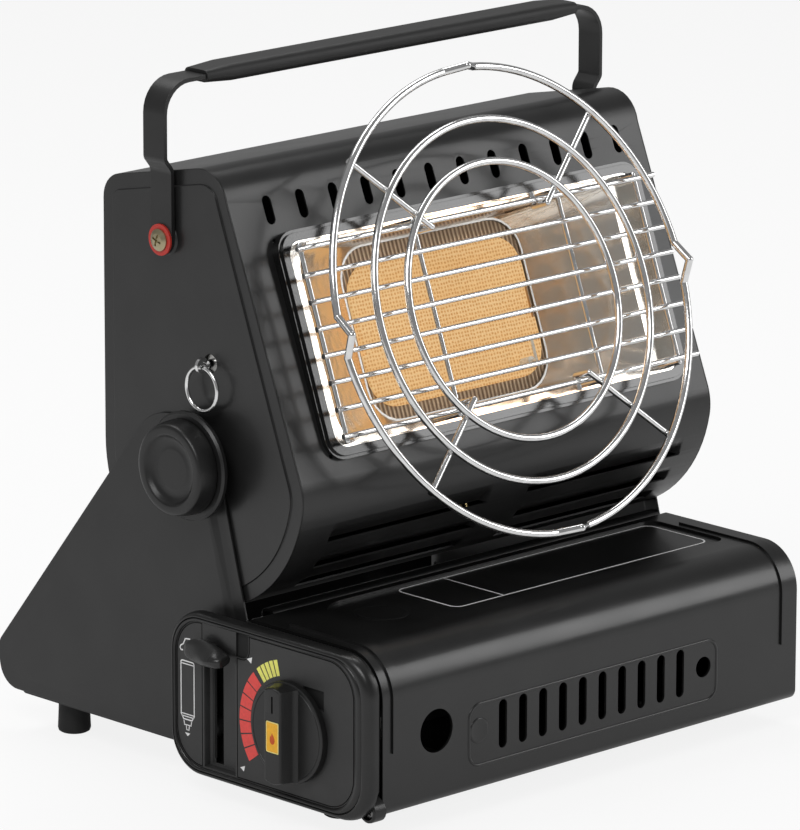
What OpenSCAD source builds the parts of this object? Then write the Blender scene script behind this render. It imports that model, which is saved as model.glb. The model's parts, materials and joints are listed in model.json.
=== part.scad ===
// Portable gas cartridge heater: tilting radiant head on a stand with a cartridge housing.
// Shell frame: x from the left side plate's face, y from the housing's front, z from its lower edge.

/* [Stand] */
// Width over the two side plates
base_w = 260; // [236:1:300]
// Depth of the cartridge housing, front face to rear edge
bay_d = 84; // [80:1:92]
// Height of the cartridge housing
bay_h = 71.8; // [70.5:0.1:73]
// Depth of the side plates
stand_d = 252.5; // [235:0.5:275]
// Height of the side plates
plate_top = 154.5; // [150:0.5:157]
// Lean of the side plates' front edge from the vertical, degrees
front_lean = 15.3; // [8:0.1:20]
// Distance of the side plates' rear shoulder behind the tilt axis
shoulder_back = 30.9; // [28:0.1:40]
// Sheet steel of the stand and the cover
sheet = 1.2; // [0.8:0.1:1.4]
// Plain rim round the raised field of a side plate
rim_w = 6.5; // [5:0.5:9]
// Width of the raised field's sloping edge
field_slope = 4; // [2:0.5:5]
// Height of the tray floor behind the housing
tray_z = 6.5; // [4:0.5:9]
// Diameter of a rubber foot
foot_d = 15; // [10:0.5:22]
// Depth of the feet below the housing's lower edge
foot_drop = 11; // [6:0.5:16]
// Distance of a foot's centre from the side plate
foot_inset = 15; // [14:0.5:16]
// Distance of the front feet behind the housing's front
foot_front = 42; // [30:1:50]
// Distance of the rear feet from the side plates' rear
foot_rear = 36; // [30:1:50]

/* [Cartridge housing] */
// Outer radius of the cover's front bend
cover_bend_r = 20; // [12:1:24]
// Height of the cover's hinge axis
hinge_z = 6; // [5.5:0.1:7]
// Radius of the cover's hinge pins
hinge_pin_r = 1.8; // [1.2:0.1:2.2]
// Diameter of the round peep hole
peep_d = 19.5; // [10:0.5:24]
// Place of the peep hole along the front
peep_x = 32.4; // [24:0.1:40]
// Number of air slots in the front
slot_count = 10; // [4:1:12]
// Spacing of the air slots
slot_pitch = 12.35; // [9:0.05:13]
// Width of an air slot
slot_w = 5; // [3:0.5:7]
// Height of an air slot
slot_h = 22; // [12:1:26]
// Height of the slots' middle
slot_z = 27.6; // [24:0.1:32]
// Diameter of the round vent beside the slots
vent_d = 9.5; // [5:0.5:12]
// Diameter of a gas cartridge
cartridge_d = 67; // [64:0.5:67.5]
// Length of a gas cartridge
cartridge_l = 185; // [150:1:190]

/* [Control panel] */
// Thickness of the moulded panel
panel_t = 12.4; // [11:0.1:15]
// Depth of the panel, front to rear
panel_d = 125.2; // [122:0.1:130]
// Height of the panel
panel_h = 74; // [73:0.5:78]
// Corner radius of the panel
panel_r = 18; // [12:1:22]
// Thickness of the panel's front plate
panel_plate = 5.4; // [5:0.1:7]
// Width of the rounded bezel at the panel's front end
bezel_front = 11; // [8:0.5:13]
// Width of the bezel along the panel's long edges
bezel_edge = 4; // [3.5:0.1:5]
// Wall of the panel moulding
panel_wall = 2.5; // [2:0.1:3]
// Radius of the control dial's skirt
dial_r = 22.6; // [16:0.1:24]
// Height of the dial's grip over its skirt
grip_h = 8.3; // [8:0.1:14]
// Width of the dial's grip
grip_w = 10; // [7:0.5:13]
// Distance of the dial's axis behind the housing's front
dial_y = 42.7; // [40:0.1:45]
// Height of the dial's axis
dial_z = 32.5; // [31:0.1:36]
// Width of the lever's channel
channel_w = 20.8; // [18:0.1:22]
// Width of the lever's slot
lever_slot_w = 5.8; // [4:0.1:7]
// Travel of the cartridge lever
lever_travel = 44; // [30:1:45]
// Travel of the cartridge claw
claw_travel = 2.5; // [1.5:0.1:2.8]

/* [Tilt joint] */
// Distance of the tilt axis behind the housing's front
pivot_y = 116; // [114:0.5:118]
// Height of the tilt axis
pivot_z = 135.5; // [135:0.5:138]
// Radius of the pivot studs
stud_r = 4; // [3:0.1:5]
// Outer radius of the pivot bushes
bush_r = 7; // [6.5:0.1:9]
// Radial play of a shaft in its bore
running_play = 0.05; // [0.03:0.01:0.09]
// Radius of the clamp knobs
knob_r = 21.3; // [16:0.1:23]
// Thickness of the clamp knobs
knob_t = 9.7; // [7:0.1:12]
// Difference in radius between a knob's rear and front
knob_taper = 1.3; // [0:0.1:3]
// Radius of the clamp discs behind the knobs
disc_r = 24.3; // [16:0.1:24.5]
// Tilt between two index holes, degrees
index_step = 34.8; // [20:0.1:34.8]

/* [Head] */
// Play between the head and each side plate
head_play = 0.4; // [0.3:0.1:1]
// Radius of the head's round lower part
head_r = 64; // [60:0.5:65]
// Tilt of the front face from the vertical, degrees
face_tilt = 20.4; // [18:0.1:24]
// Distance of the front face from the tilt axis
face_f = 58.5; // [57:0.5:60]
// Rise of the top over the tilt axis, measured square to the top
top_rise = 128.5; // [124:0.5:136]
// Fall of the top from front to rear, degrees
top_fall = 11.4; // [5:0.1:16]
// Radius of the head's long front corner
brow_r = 16; // [6:1:18]
// Sheet steel of the head
head_sheet = 0.8; // [0.6:0.1:1]
// Raised field's distance from the edge of a head side
head_rim = 7; // [5:0.5:10]
// Plain face of the head beside the window
window_margin = 18; // [17:0.5:34]
// Offset of the window to the right of the head's middle
window_x = 3.2; // [-4:0.1:4]
// Height of the window
window_h = 102; // [96:1:106]
// Height of the window's middle over the tilt axis, along the face
window_up = 37; // [34:0.5:40]
// Corner radius of the window
window_r = 10; // [4:1:16]
// Height of the window frame over the face
rim_h = 3; // [2:0.1:4]
// Width of the window frame's rim
rim_t = 5.2; // [4:0.1:6]
// Depth of the reflector's ledge behind the face
frame_depth = 4; // [3:0.5:6]
// Width of the reflector's ledge at both ends
ledge_w = 9; // [6:0.5:14]
// Number of vent slots over the window
vent_count = 12; // [6:1:13]
// Spacing of the vent slots
vent_pitch = 19.54; // [12:0.02:19.6]
// Height of the vent row over the tilt axis, along the face
vent_up = 98.8; // [97:0.1:101]
// Length of a vent slot
vent_l = 13; // [8:0.5:14]
// Width of a vent slot
vent_w = 5.2; // [3:0.1:7]
// Length of a louvre under the window
louvre_l = 98; // [60:1:104]
// Number of louvre rows
louvre_rows = 3; // [2:1:3]
// Depth of a louvre pressed into the head
louvre_depth = 3.2; // [2:0.1:4]

/* [Burner] */
// Width of the ceramic plaque
plaque_w = 107; // [90:1:120]
// Height of the ceramic plaque
plaque_h = 64.5; // [56:0.5:70]
// Corner radius of the ceramic plaque
plaque_r = 15; // [6:1:24]
// Thickness of the ceramic plaque
plaque_t = 12; // [8:0.5:14]
// Depth of the plaque's face behind the front face
plaque_depth = 26; // [20:0.1:30]
// Offset of the plaque below the middle of its frame
plaque_drop = 1; // [0:0.1:3]
// Height of the plaque's frame
holder_h = 78; // [74:0.5:80]
// Radius of the mixing tube
mixer_r = 9; // [6:0.5:11]

/* [Guard] */
// Radius of the grille wires
grille_wire_r = 1.25; // [0.8:0.05:1.5]
// Number of level grille wires
grille_rows = 8; // [5:1:9]
// Spacing of the level grille wires
grille_pitch = 11.86; // [9:0.02:12]
// Distance of the grille in front of the face
grille_f = 15.3; // [12:0.1:18]
// Radius of the guard wires
guard_wire_r = 1.75; // [1:0.05:2.2]
// Radii of the guard rings, from the outer one in
guard_radii = [104.5, 81, 62];
// Distance of the guard rings in front of the face
guard_f = 23.8; // [22.5:0.1:28]

/* [Carrying handle] */
// Distance of the handle's pivot behind the housing's front
bail_y = 138; // [136:0.5:142]
// Height of the handle's pivot
bail_z = 232; // [228:0.5:236]
// Height of the handle's top
bail_top = 303; // [298:0.5:312]
// Width of the handle's strap
strap_w = 13.5; // [10:0.5:16]
// Thickness of the handle's strap
strap_t = 2; // [1.4:0.1:2.2]
// Radius of the handle's screws
bail_screw_r = 2.5; // [1.8:0.1:3]
// Length of the grip sleeve
sleeve_l = 228; // [100:1:228]
// Offset of the grip sleeve to the right
sleeve_x = 4; // [-4:0.5:4]
// Width of the grip sleeve beside the strap
sleeve_t = 1.8; // [1:0.1:3]
// Thickness of the grip sleeve over the strap
sleeve_h = 2.8; // [1.5:0.1:3.5]
// Length of the grip sleeve's tapered ends
sleeve_taper = 15; // [6:1:20]

/* [Tilt lock] */
// Distance of the lock pin from the tilt axis
pin_reach = 45.9; // [45:0.1:47]
// Lean of the lock pin forward of the tilt axis, degrees
pin_lean = 7.5; // [0:0.5:9]
// Radius of the lock pin's nose
nose_r = 2.5; // [1.8:0.1:3]
// Travel of the lock pin when the ring is pulled
pull_travel = 2; // [1:0.1:2]
// Outer radius of the pull ring
ring_r = 10.6; // [9:0.1:10.6]
// Wire radius of the pull ring
ring_wire_r = 0.9; // [0.6:0.05:1]

/* [Hidden] */

// gaps between pieces that move past each other
gap = 0.3;
eps = 0.01;

// side plate: rim faces, raised field's faces
rim_x = 0.4;
field_x = -1.6;
plate_in = rim_x + sheet;
plate_low = 3;
apex_front_r = 16;
apex_rear_r = 27;

// housing
floor_z = sheet;
pan_y = hinge_z + 8;
wall_y = bay_d + 0.6;
step_y = wall_y + 2*sheet + 0.4;
ledge_y = bay_d + 9;
cover_x = 0.3;
cover_gap = 0.4;
lip_y = 8;
slot_x0 = base_w/2 - 57.3;
hinge_y = hinge_z;
ear_x = 7;
ear_t = 2;

// cartridge and regulator
cartridge_y = bay_d/2 + 1;
cartridge_z = floor_z + sheet + 0.5 + cartridge_d/2;
collar_r = 14;
collar_x = 29;
bracket_x = 21;

// panel
panel_back = field_x - 0.1;
panel_face = panel_back - panel_t;
panel_y = -7.8;
panel_z = -0.5;
field_drop = 1.2;
channel_y = 87.8;
channel_floor = 5;
channel_mid = channel_y - 4.6;
lever_z = 59;
lever_bar = 5;
dial_back = panel_face + field_drop - gap;
skirt_t = 3.2;
dial_face = dial_back - skirt_t;
grip_face = dial_face - grip_h;
spindle_r = 3;
lever_x = 7.5;

// tilt joint
disc_x = field_x - 2.8;
disc_t = 3.2;
knob_back = disc_x - disc_t - 0.2;
knob_face = knob_back - knob_t;
index_x = 12.4;
index_t = 1.6;
cup_x = index_x + index_t + 0.4 + sheet;
cup_r = 56;
tilt_max = 90 - face_tilt;

// head
head_x = plate_in + head_play;
side_x = head_x + head_sheet;
wrap_x = side_x + head_sheet;
fillet_r = 25;
fillet_w = sqrt(pow(head_r - fillet_r, 2) - pow(face_f - fillet_r, 2));
fillet_a = atan2(fillet_w, face_f - fillet_r);
tail_r = 12;
grille_top = (grille_rows - 1)*grille_pitch/2;
window_w = base_w - 2*window_margin;
tray_w = window_w - 2*rim_t;
tray_h = window_h - 2*rim_t;
ledge_h = 2.6;
grille_left = -window_w/2 - 1.2;
grille_right = window_w/2 - 5.2;
post_places = [grille_left + 4, -41.5, 47.8, grille_right - 10];

// lock pin
pin_y = pivot_y - pin_reach*sin(pin_lean);
pin_z = pivot_z + pin_reach*cos(pin_lean);
ring_x = field_x - 1.4;
nose_x = index_x - gap;
guide_l = 2.2;
pin_collar = 1;
collar_pin_x = wrap_x + 1.1 + pull_travel;
eye_r = 2.6;
eye_wire_r = 0.8;
ring_top = pin_z - eye_r + eye_wire_r + 2*ring_wire_r + 0.1;
pin_bush_r = 7;

// handle
strap_x = side_x - head_sheet - 3.1;
jog = 4;
jog_z = 31;
bend_r = 15;

// side plate's outline
front_low_y = bay_d + 2.2 - (bay_h - tray_z)*tan(front_lean);
apex_y0 = front_low_y + (plate_top - tray_z)*tan(front_lean);
apex_y1 = pivot_y + shoulder_back;
yoke_pts = [[front_low_y, tray_z], [stand_d - 4, tray_z], [stand_d, 25.5], [apex_y1, plate_top],
    [apex_y0, plate_top]];
yoke_radii = [2, 12, 10, apex_rear_r, apex_front_r];
yoke_top_y = front_low_y + (bay_h - sheet - cover_gap - tray_z)*tan(front_lean);
shell_top = bay_h - sheet - cover_gap;
plate_pts = [[2.5, plate_low], [step_y, plate_low], [step_y + 4, tray_z], [stand_d - 4, tray_z],
    [stand_d, 25.5], [apex_y1, plate_top], [apex_y0, plate_top], [yoke_top_y, shell_top],
    [2.5, shell_top]];
plate_radii = [3, 1, 1, 12, 10, apex_rear_r, apex_front_r, 1, cover_bend_r - sheet - cover_gap];
plate_rear = max([for (p = rounded(plate_pts, plate_radii)) p.x]);

// model origin under the middle of the whole heater, on the ground
origin_x = (grip_face + base_w - knob_face)/2;
origin_y = (panel_y + plate_rear)/2;

// ---- helpers ----

module placed() {
    translate([-origin_x, -origin_y, foot_drop]) children();
}

// 0 leaves a piece on the left, 1 mirrors it to the right
module on_side(s) {
    translate([s*base_w, 0, 0]) mirror([s, 0, 0]) children();
}

module yz(x0, x1) {
    translate([x0, 0, 0]) rotate([90, 0, 90]) linear_extrude(x1 - x0) children();
}

module rod_x(r, x0, x1, y, z) {
    translate([x0, y, z]) rotate([0, 90, 0]) cylinder(r = r, h = x1 - x0, $fn = 64);
}

module rod_y(r, x, y0, y1, z) {
    translate([x, y1, z]) rotate([90, 0, 0]) cylinder(r = r, h = y1 - y0, $fn = 48);
}

// ball that closes the joint of two wires
module knot(p, r) {
    translate(p) sphere(r = 1.04*r, $fn = 24);
}

// straight wire between two points
module wire(a, b, r) {
    d = b - a;
    l = norm(d);
    translate(a) rotate([0, acos(d.z/l), atan2(d.y, d.x)]) cylinder(r = r, h = l, $fn = 24);
}

// x along the axis, profile as [radius, x] points
module turned_x(y, z) {
    translate([0, y, z]) rotate([0, 90, 0]) rotate_extrude($fn = 96) children();
}

// head coordinates: x, -y out of the face, z up along the face from the tilt axis
module in_head() {
    translate([base_w/2, pivot_y, pivot_z]) rotate([-face_tilt, 0, 0]) children();
}

module in_window() {
    in_head() translate([window_x, 0, 0]) children();
}

// plate square to the face, from f0 to f1 in front of the tilt axis
module facing(f0, f1, up = 0) {
    translate([0, -f0, up]) rotate([90, 0, 0]) linear_extrude(f1 - f0) children();
}

function unit(v) = v/norm(v);
function left_of(v) = [-v.y, v.x];

// arc that rounds the corner at b between a and c
function corner_arc(a, b, c, r, n) =
    let (u = unit(a - b), w = unit(c - b), half = acos(u*w)/2)
    let (m = b + unit(u + w)*r/sin(half), p = b + u*r/tan(half) - m, q = b + w*r/tan(half) - m)
    let (from = atan2(p.y, p.x), raw = atan2(q.y, q.x) - from)
    let (turn = raw > 180 ? raw - 360 : raw < -180 ? raw + 360 : raw)
    [for (i = [0:n]) m + r*[cos(from + turn*i/n), sin(from + turn*i/n)]];

function rounded(pts, rs, n = 8) =
    [for (i = [0:len(pts) - 1]) let (k = len(pts))
        each corner_arc(pts[(i + k - 1)%k], pts[i], pts[(i + 1)%k], rs[i], n)];

// open path with its inner corners rounded
function bent(pts, rs, n = 8) =
    [pts[0], for (i = [1:len(pts) - 2]) each corner_arc(pts[i - 1], pts[i], pts[i + 1], rs[i - 1], n),
        pts[len(pts) - 1]];

// sheet of thickness t to the left of a path
function strip(path, t) =
    let (n = len(path) - 1)
    concat(path, [for (i = [n:-1:0])
        let (a = left_of(unit(path[max(i, 1)] - path[max(i, 1) - 1])))
        let (b = left_of(unit(path[min(i, n - 1) + 1] - path[min(i, n - 1)])))
        let (m = unit(a + b))
        path[i] + m*t/(m*a)]);

function inset(pts, d) =
    [for (i = [0:len(pts) - 1]) let (k = len(pts), b = pts[i])
        let (u = unit(pts[(i + k - 1)%k] - b), w = unit(pts[(i + 1)%k] - b))
        b + unit(u + w)*d/sin(acos(u*w)/2)];

function arc(r, from, to, n, c = [0, 0]) =
    [for (i = [0:n]) c + r*[cos(from + (to - from)*i/n), sin(from + (to - from)*i/n)]];

// crossing of two lines given by their normals' angles and distances
function meet(a1, d1, a2, d2) =
    [d1*sin(a2) - d2*sin(a1), d2*cos(a1) - d1*cos(a2)]/sin(a2 - a1);

module round_rect(w, h, r) {
    polygon(rounded([[-w/2, -h/2], [w/2, -h/2], [w/2, h/2], [-w/2, h/2]], [r, r, r, r], 6));
}

// round-ended slot along the second axis
module slot_2d(w, l) {
    square([w, l - w], center = true);
    for (s = [-1, 1]) translate([0, s*(l - w)/2]) circle(d = w, $fn = 32);
}

// ---- stand ----

module raised_field(x0) {
    hull() {
        yz(x0, x0 + eps) polygon(rounded(inset(yoke_pts, rim_w), [for (r = yoke_radii) max(r - rim_w,
            2)], 4));
        yz(x0 + field_x - rim_x, x0 + field_x - rim_x + eps)
            polygon(rounded(inset(yoke_pts, rim_w + field_slope), [for (r = yoke_radii)
                max(r - rim_w - field_slope, 2)], 4));
    }
}

module side_plate() {
    difference() {
        union() {
            yz(rim_x, plate_in) polygon(rounded(plate_pts, plate_radii));
            raised_field(rim_x);
        }
        raised_field(plate_in);
        rod_x(bush_r, field_x - 1, plate_in + 1, pivot_y, pivot_z);
    }
}

module side_plate_left() {
    color([0.11, 0.11, 0.12]) placed() difference() {
        side_plate();
        rod_x(spindle_r + 4, field_x - 1, plate_in + 1, dial_y, dial_z);
        translate([field_x - 1, channel_y - 3.4, lever_z - lever_travel - 5])
            cube([sheet - field_x + 3, 6.8, lever_travel + 10]);
    }
}

module side_plate_right() {
    color([0.11, 0.11, 0.12]) placed() on_side(1) side_plate();
}

module floor_pan() {
    rear_y = stand_d - 16;
    flange_z = floor_z + 9;
    color([0.12, 0.12, 0.13]) placed() difference() {
        union() {
            yz(plate_in, base_w - plate_in) polygon(strip(bent([[pan_y, flange_z], [pan_y, floor_z],
                [step_y, floor_z], [step_y, tray_z - sheet], [rear_y, tray_z - sheet],
                [rear_y, tray_z + 17]], [2, 1.5, 1.5, 2], 3), sheet));
            for (s = [0, 1]) on_side(s) {
                // hinge ears and upturned side edges
                yz(ear_x, ear_x + ear_t) union() {
                    translate([hinge_y, hinge_z]) circle(r = hinge_pin_r + 1.8, $fn = 48);
                    translate([hinge_y, hinge_z - hinge_pin_r - 1]) square([pan_y + 1 - hinge_y,
                        2*hinge_pin_r + 2]);
                }
                translate([plate_in, pan_y + sheet, floor_z + sheet]) cube([sheet, step_y - pan_y - 5, 7.2]);
                translate([plate_in, step_y + 4, tray_z]) cube([sheet, rear_y - step_y - 8, 12]);
            }
        }
        for (s = [0, 1]) on_side(s) {
            rod_x(hinge_pin_r, ear_x - 1, ear_x + ear_t + 1, hinge_y, hinge_z);
            for (y = [foot_front, stand_d - foot_rear])
                translate([foot_inset, y, -1]) cylinder(d = foot_d/3, h = tray_z + 5, $fn = 32);
        }
    }
}

module bay_rear_wall() {
    color([0.12, 0.12, 0.13]) placed()
        yz(16, base_w - plate_in) polygon(strip(bent([[wall_y, floor_z + sheet], [wall_y, bay_h],
            [ledge_y, bay_h], [ledge_y, bay_h - 5]], [2.5, 2], 4), -sheet));
}

module cartridge_cradle() {
    color([0.5, 0.5, 0.52]) placed() for (share = [0.23, 0.8]) let (x = collar_x + share*cartridge_l)
        difference() {
        union() {
            yz(x, x + sheet) translate([cartridge_y - 25, floor_z + sheet]) square([50, 9.5]);
            translate([x, cartridge_y - 25, floor_z + sheet]) cube([9, 50, sheet/2]);
        }
        rod_x(cartridge_d/2 + 0.3, x - 1, x + 10, cartridge_y, cartridge_z);
    }
}

module valve_bracket() {
    color([0.55, 0.55, 0.57]) placed() difference() {
        union() {
            yz(bracket_x, bracket_x + sheet)
                polygon(rounded([[23, floor_z + sheet], [66, floor_z + sheet], [66, 58], [23, 58]], [1,
                    1, 8, 8]));
            translate([bracket_x, 23, floor_z + sheet]) cube([11, 43, sheet]);
        }
        rod_x(collar_r, bracket_x - 1, bracket_x + 3, cartridge_y, cartridge_z);
    }
}

module gas_regulator() {
    color([0.72, 0.72, 0.74]) placed() difference() {
        union() {
            yz(plate_in + 1, bracket_x)
                polygon(rounded([[27, 18], [59, 18], [59, 54], [27, 54]], [4, 4, 7, 7]));
            rod_x(collar_r, bracket_x, collar_x - 4, cartridge_y, cartridge_z);
            rod_x(collar_r - 2, collar_x - 4, collar_x, cartridge_y, cartridge_z);
            rod_x(11, plate_in, plate_in + 1, dial_y, dial_z);
        }
        rod_x(6, collar_x - 8, collar_x + 1, cartridge_y, cartridge_z);
        rod_x(spindle_r + running_play, 0, 12, dial_y, dial_z);
        rod_y(2.5, 12, 50, 60, 30);
    }
}

module outlet_nipple() {
    color([0.8, 0.66, 0.3]) placed() difference() {
        union() {
            rod_y(5, 12, 59, 63, 30);
            rod_y(3.6, 12, 63, 71, 30);
            for (i = [0:2]) translate([12, 66 + 2*i, 30]) rotate([90, 0, 0]) cylinder(r1 = 3.6,
                r2 = 4.2, h = 1.6, $fn = 48);
        }
        rod_y(1.5, 12, 58, 72, 30);
    }
}

module piezo_igniter() {
    color([0.16, 0.16, 0.17]) placed() {
        rod_x(6.5, plate_in, 18, 16, 46);
        rod_x(5, 18, 30, 16, 46);
        rod_x(2, 30, 33.6, 16, 46);
    }
}

foot_places = [[foot_front, floor_z], [stand_d - foot_rear, tray_z - sheet]];

module rubber_feet() {
    color([0.07, 0.07, 0.07]) placed() for (s = [0, 1]) on_side(s) {
        for (foot = foot_places) translate([foot_inset, foot[0], -foot_drop])
            rotate_extrude($fn = 64) polygon([[0, 0], [foot_d/2 - 1.4, 0], [foot_d/2 - 0.4, 0.6],
                [foot_d/2, 1.8], [foot_d/2 - 0.5, foot[1] + foot_drop - 2], [foot_d/2 - 1,
                    foot[1] + foot_drop],
                [0, foot[1] + foot_drop]]);
    }
}

module foot_rivets() {
    color([0.6, 0.6, 0.62]) placed() for (s = [0, 1]) on_side(s) {
        for (foot = foot_places) translate([foot_inset, foot[0], foot[1]]) {
            cylinder(d = foot_d/3, h = sheet, $fn = 32);
            translate([0, 0, sheet]) cylinder(d1 = 9, d2 = 6, h = 1.6, $fn = 48);
        }
    }
}

module cover_hinge_pins() {
    color([0.75, 0.75, 0.77]) placed() for (s = [0, 1]) on_side(s) {
        rod_x(hinge_pin_r, ear_x - 3, ear_x + ear_t, hinge_y, hinge_z);
        rod_x(hinge_pin_r + 1, ear_x + ear_t, ear_x + ear_t + 1, hinge_y, hinge_z);
    }
}

// ---- cartridge cover ----

module cover_path(rise) {
    polygon(strip(bent([[lip_y, 0], [0, 0], [0, bay_h], [bay_d, bay_h], [bay_d, bay_h - rise]],
        [5, cover_bend_r, 2], 16), -sheet));
}

module cartridge_cover() {
    recess = 1.2;
    recess_x0 = 30;
    recess_x1 = base_w - 14;
    color([0.10, 0.10, 0.11]) placed() difference() {
        union() {
            yz(cover_x, base_w - cover_x) cover_path(5);
            for (s = [0, 1]) on_side(s) {
                // pressed bead near the end
                yz(5.6, 11) polygon(strip(bent([[eps, 28], [eps, bay_h - eps], [bay_d - 20, bay_h - eps]],
                    [cover_bend_r], 16), 1));
                // hinge tab
                yz(ear_x - 2.4, ear_x - gap) union() {
                    translate([hinge_y, hinge_z]) circle(r = 4.6, $fn = 48);
                    translate([0.5, hinge_z - 1]) square([hinge_y, 16]);
                }
            }
            translate([0, 0, bay_h - sheet - recess]) linear_extrude(sheet) top_recess(recess_x0 - 1,
                recess_x1 + 1, 1);
        }
        translate([0, 0, bay_h - recess]) linear_extrude(recess + 1) top_recess(recess_x0, recess_x1, 0);
        for (s = [0, 1]) on_side(s) {
            rod_x(hinge_pin_r + running_play, ear_x - 5, ear_x, hinge_y, hinge_z);
            translate([-1, 5, -1]) cube([15, 5, sheet + 1.01]);
            translate([-1, bay_d - 4, bay_h - 7]) cube([plate_in + gap + 1, 5, 7 - sheet - eps]);
        }
        rod_y(peep_d/2, peep_x, -2, sheet + 2, cartridge_z - 3.7);
        for (i = [0:slot_count - 1]) translate([slot_x0 + i*slot_pitch, sheet + 1, slot_z])
            rotate([90, 0, 0]) linear_extrude(sheet + 3) slot_2d(slot_w, slot_h);
        rod_y(vent_d/2, slot_x0 + (slot_count - 1)*slot_pitch + 15, -2, sheet + 2, slot_z);
    }
}

module top_recess(x0, x1, grow) {
    y0 = 31 - grow;
    y1 = bay_d - 6 + grow;
    polygon(rounded([[x0, y0], [x1, y0], [x1, y1], [x0, y1]], [20, 6, 6, 20]));
}

// ---- control panel ----

module panel_outline(d) {
    translate([panel_y + panel_d/2, panel_z + panel_h/2]) round_rect(panel_d - 2*d, panel_h - 2*d,
        panel_r - d);
}

// flat field that the rounded bezel frames
module panel_field() {
    y0 = panel_y + bezel_front;
    y1 = panel_y + panel_d - bezel_edge/2;
    z0 = panel_z + bezel_edge;
    z1 = panel_z + panel_h - bezel_edge;
    r = panel_r - bezel_edge;
    polygon(rounded([[y0, z0], [y1, z0], [y1, z1], [y0, z1]], [r, r, r, r], 6));
}

module control_panel() {
    channel_z0 = panel_z + bezel_edge + 1;
    channel_z1 = lever_z + 9;
    edge_r = 3.2;
    plate_back = panel_face + panel_plate;
    color([0.13, 0.13, 0.14]) placed() difference() {
        union() {
            difference() {
                union() {
                    // front plate with its rounded edge, and the smaller body behind it
                    yz(panel_face + edge_r, plate_back) panel_outline(0);
                    for (a = [15:15:75])
                        yz(panel_face + edge_r*(1 - sin(a)), panel_face + edge_r + eps)
                            panel_outline(edge_r*(1 - cos(a)));
                    yz(plate_back - eps, panel_back) panel_outline(panel_body);
                    yz(plate_back - eps, panel_back) lug();
                }
                // hollow behind the face
                yz(panel_face + panel_wall + field_drop, panel_back + 1)
                    panel_outline(panel_body + panel_wall);
            }
            // tub of the lever's channel
            translate([panel_face + 2, channel_mid - channel_w/2 - 2, channel_z0 - 2])
                cube([channel_floor, channel_w + 4, channel_z1 - channel_z0 + 4]);
        }
        // flat field let into the bezel
        yz(panel_face - 1, panel_face + field_drop) panel_field();
        // lever channel and its slot
        translate([panel_face - 1, channel_mid - channel_w/2, channel_z0])
            cube([channel_floor + 1, channel_w, channel_z1 - channel_z0]);
        translate([panel_face, channel_y - lever_slot_w/2, lever_z - lever_travel - lever_bar/2 - 4])
            cube([panel_t + 1, lever_slot_w, lever_travel + lever_bar + 5]);
        rod_x(8.5, panel_face - 1, panel_back, dial_y, dial_z);
        // pocket beside the dial
        translate([panel_face, dial_y - 20, dial_z + 13]) cube([field_drop + 1.4, 13, 9]);
        for (p = panel_screw_places) {
            rod_x(1.6, plate_back - 1, panel_back + 1, p[0], p[1]);
            rod_x(3.8, plate_back - 1, plate_back + 2.4, p[0], p[1]);
        }
    }
}

panel_body = 8;
panel_screw_places = [[panel_y + 5, panel_z + 1], [panel_y + panel_d - panel_body - 1,
    panel_z + panel_body + 10]];

// corner ears of the body that take the screws
module lug() {
    for (p = panel_screw_places) hull() {
        translate(p) circle(r = 5, $fn = 48);
        translate([(p.x + 6*(panel_y + panel_d/2))/7, (p.y + 3*(panel_z + panel_h/2))/4]) circle(r = 5,
            $fn = 48);
    }
}

module panel_screws() {
    head_x = panel_face + panel_plate + 0.6;
    color([0.7, 0.7, 0.72]) placed() for (p = panel_screw_places) difference() {
        union() {
            rod_x(3.4, head_x, head_x + 1.8, p[0], p[1]);
            rod_x(1.6, head_x + 1.8, panel_back, p[0], p[1]);
        }
        for (a = [45, 135]) translate([head_x, p[0], p[1]]) rotate([a, 0, 0])
            cube([1.8, 0.9, 4.4], center = true);
    }
}

// ---- dial ----

module control_dial() {
    color([0.10, 0.10, 0.11]) placed() difference() {
        union() {
            turned_x(dial_y, dial_z) polygon([[0, dial_face], [dial_r - 1.4, dial_face], [dial_r,
                dial_face + 1.2],
                [dial_r, dial_back], [0, dial_back]]);
            intersection() {
                rod_x(dial_r - 0.6, grip_face, dial_face + 1, dial_y, dial_z);
                yz(grip_face, dial_face + 1) translate([dial_y, dial_z]) round_rect(grip_w, 2*dial_r, 1.5);
            }
            rod_x(8, dial_back, panel_back - 1, dial_y, dial_z);
        }
        rod_x(spindle_r, dial_face, panel_back, dial_y, dial_z);
        // pointer slot and the label's seat
        translate([grip_face - 1, dial_y - 0.6, dial_z + 10.5]) cube([2, 1.2, 7.5]);
        translate([grip_face - 1, dial_y - label_w/2, dial_z + label_z]) cube([1.6, label_w, label_h]);
    }
}

label_w = 8.6;
label_h = 14.2;
label_z = -0.4 - label_h/2;

module dial_insert() {
    color([0.96, 0.72, 0.12]) placed()
        translate([grip_face + 0.1, dial_y - label_w/2, dial_z + label_z]) cube([0.5, label_w, label_h]);
}

module valve_spindle() {
    color([0.75, 0.75, 0.77]) placed() rod_x(spindle_r, dial_face, 11, dial_y, dial_z);
}

// ---- cartridge lever and claw ----

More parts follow.
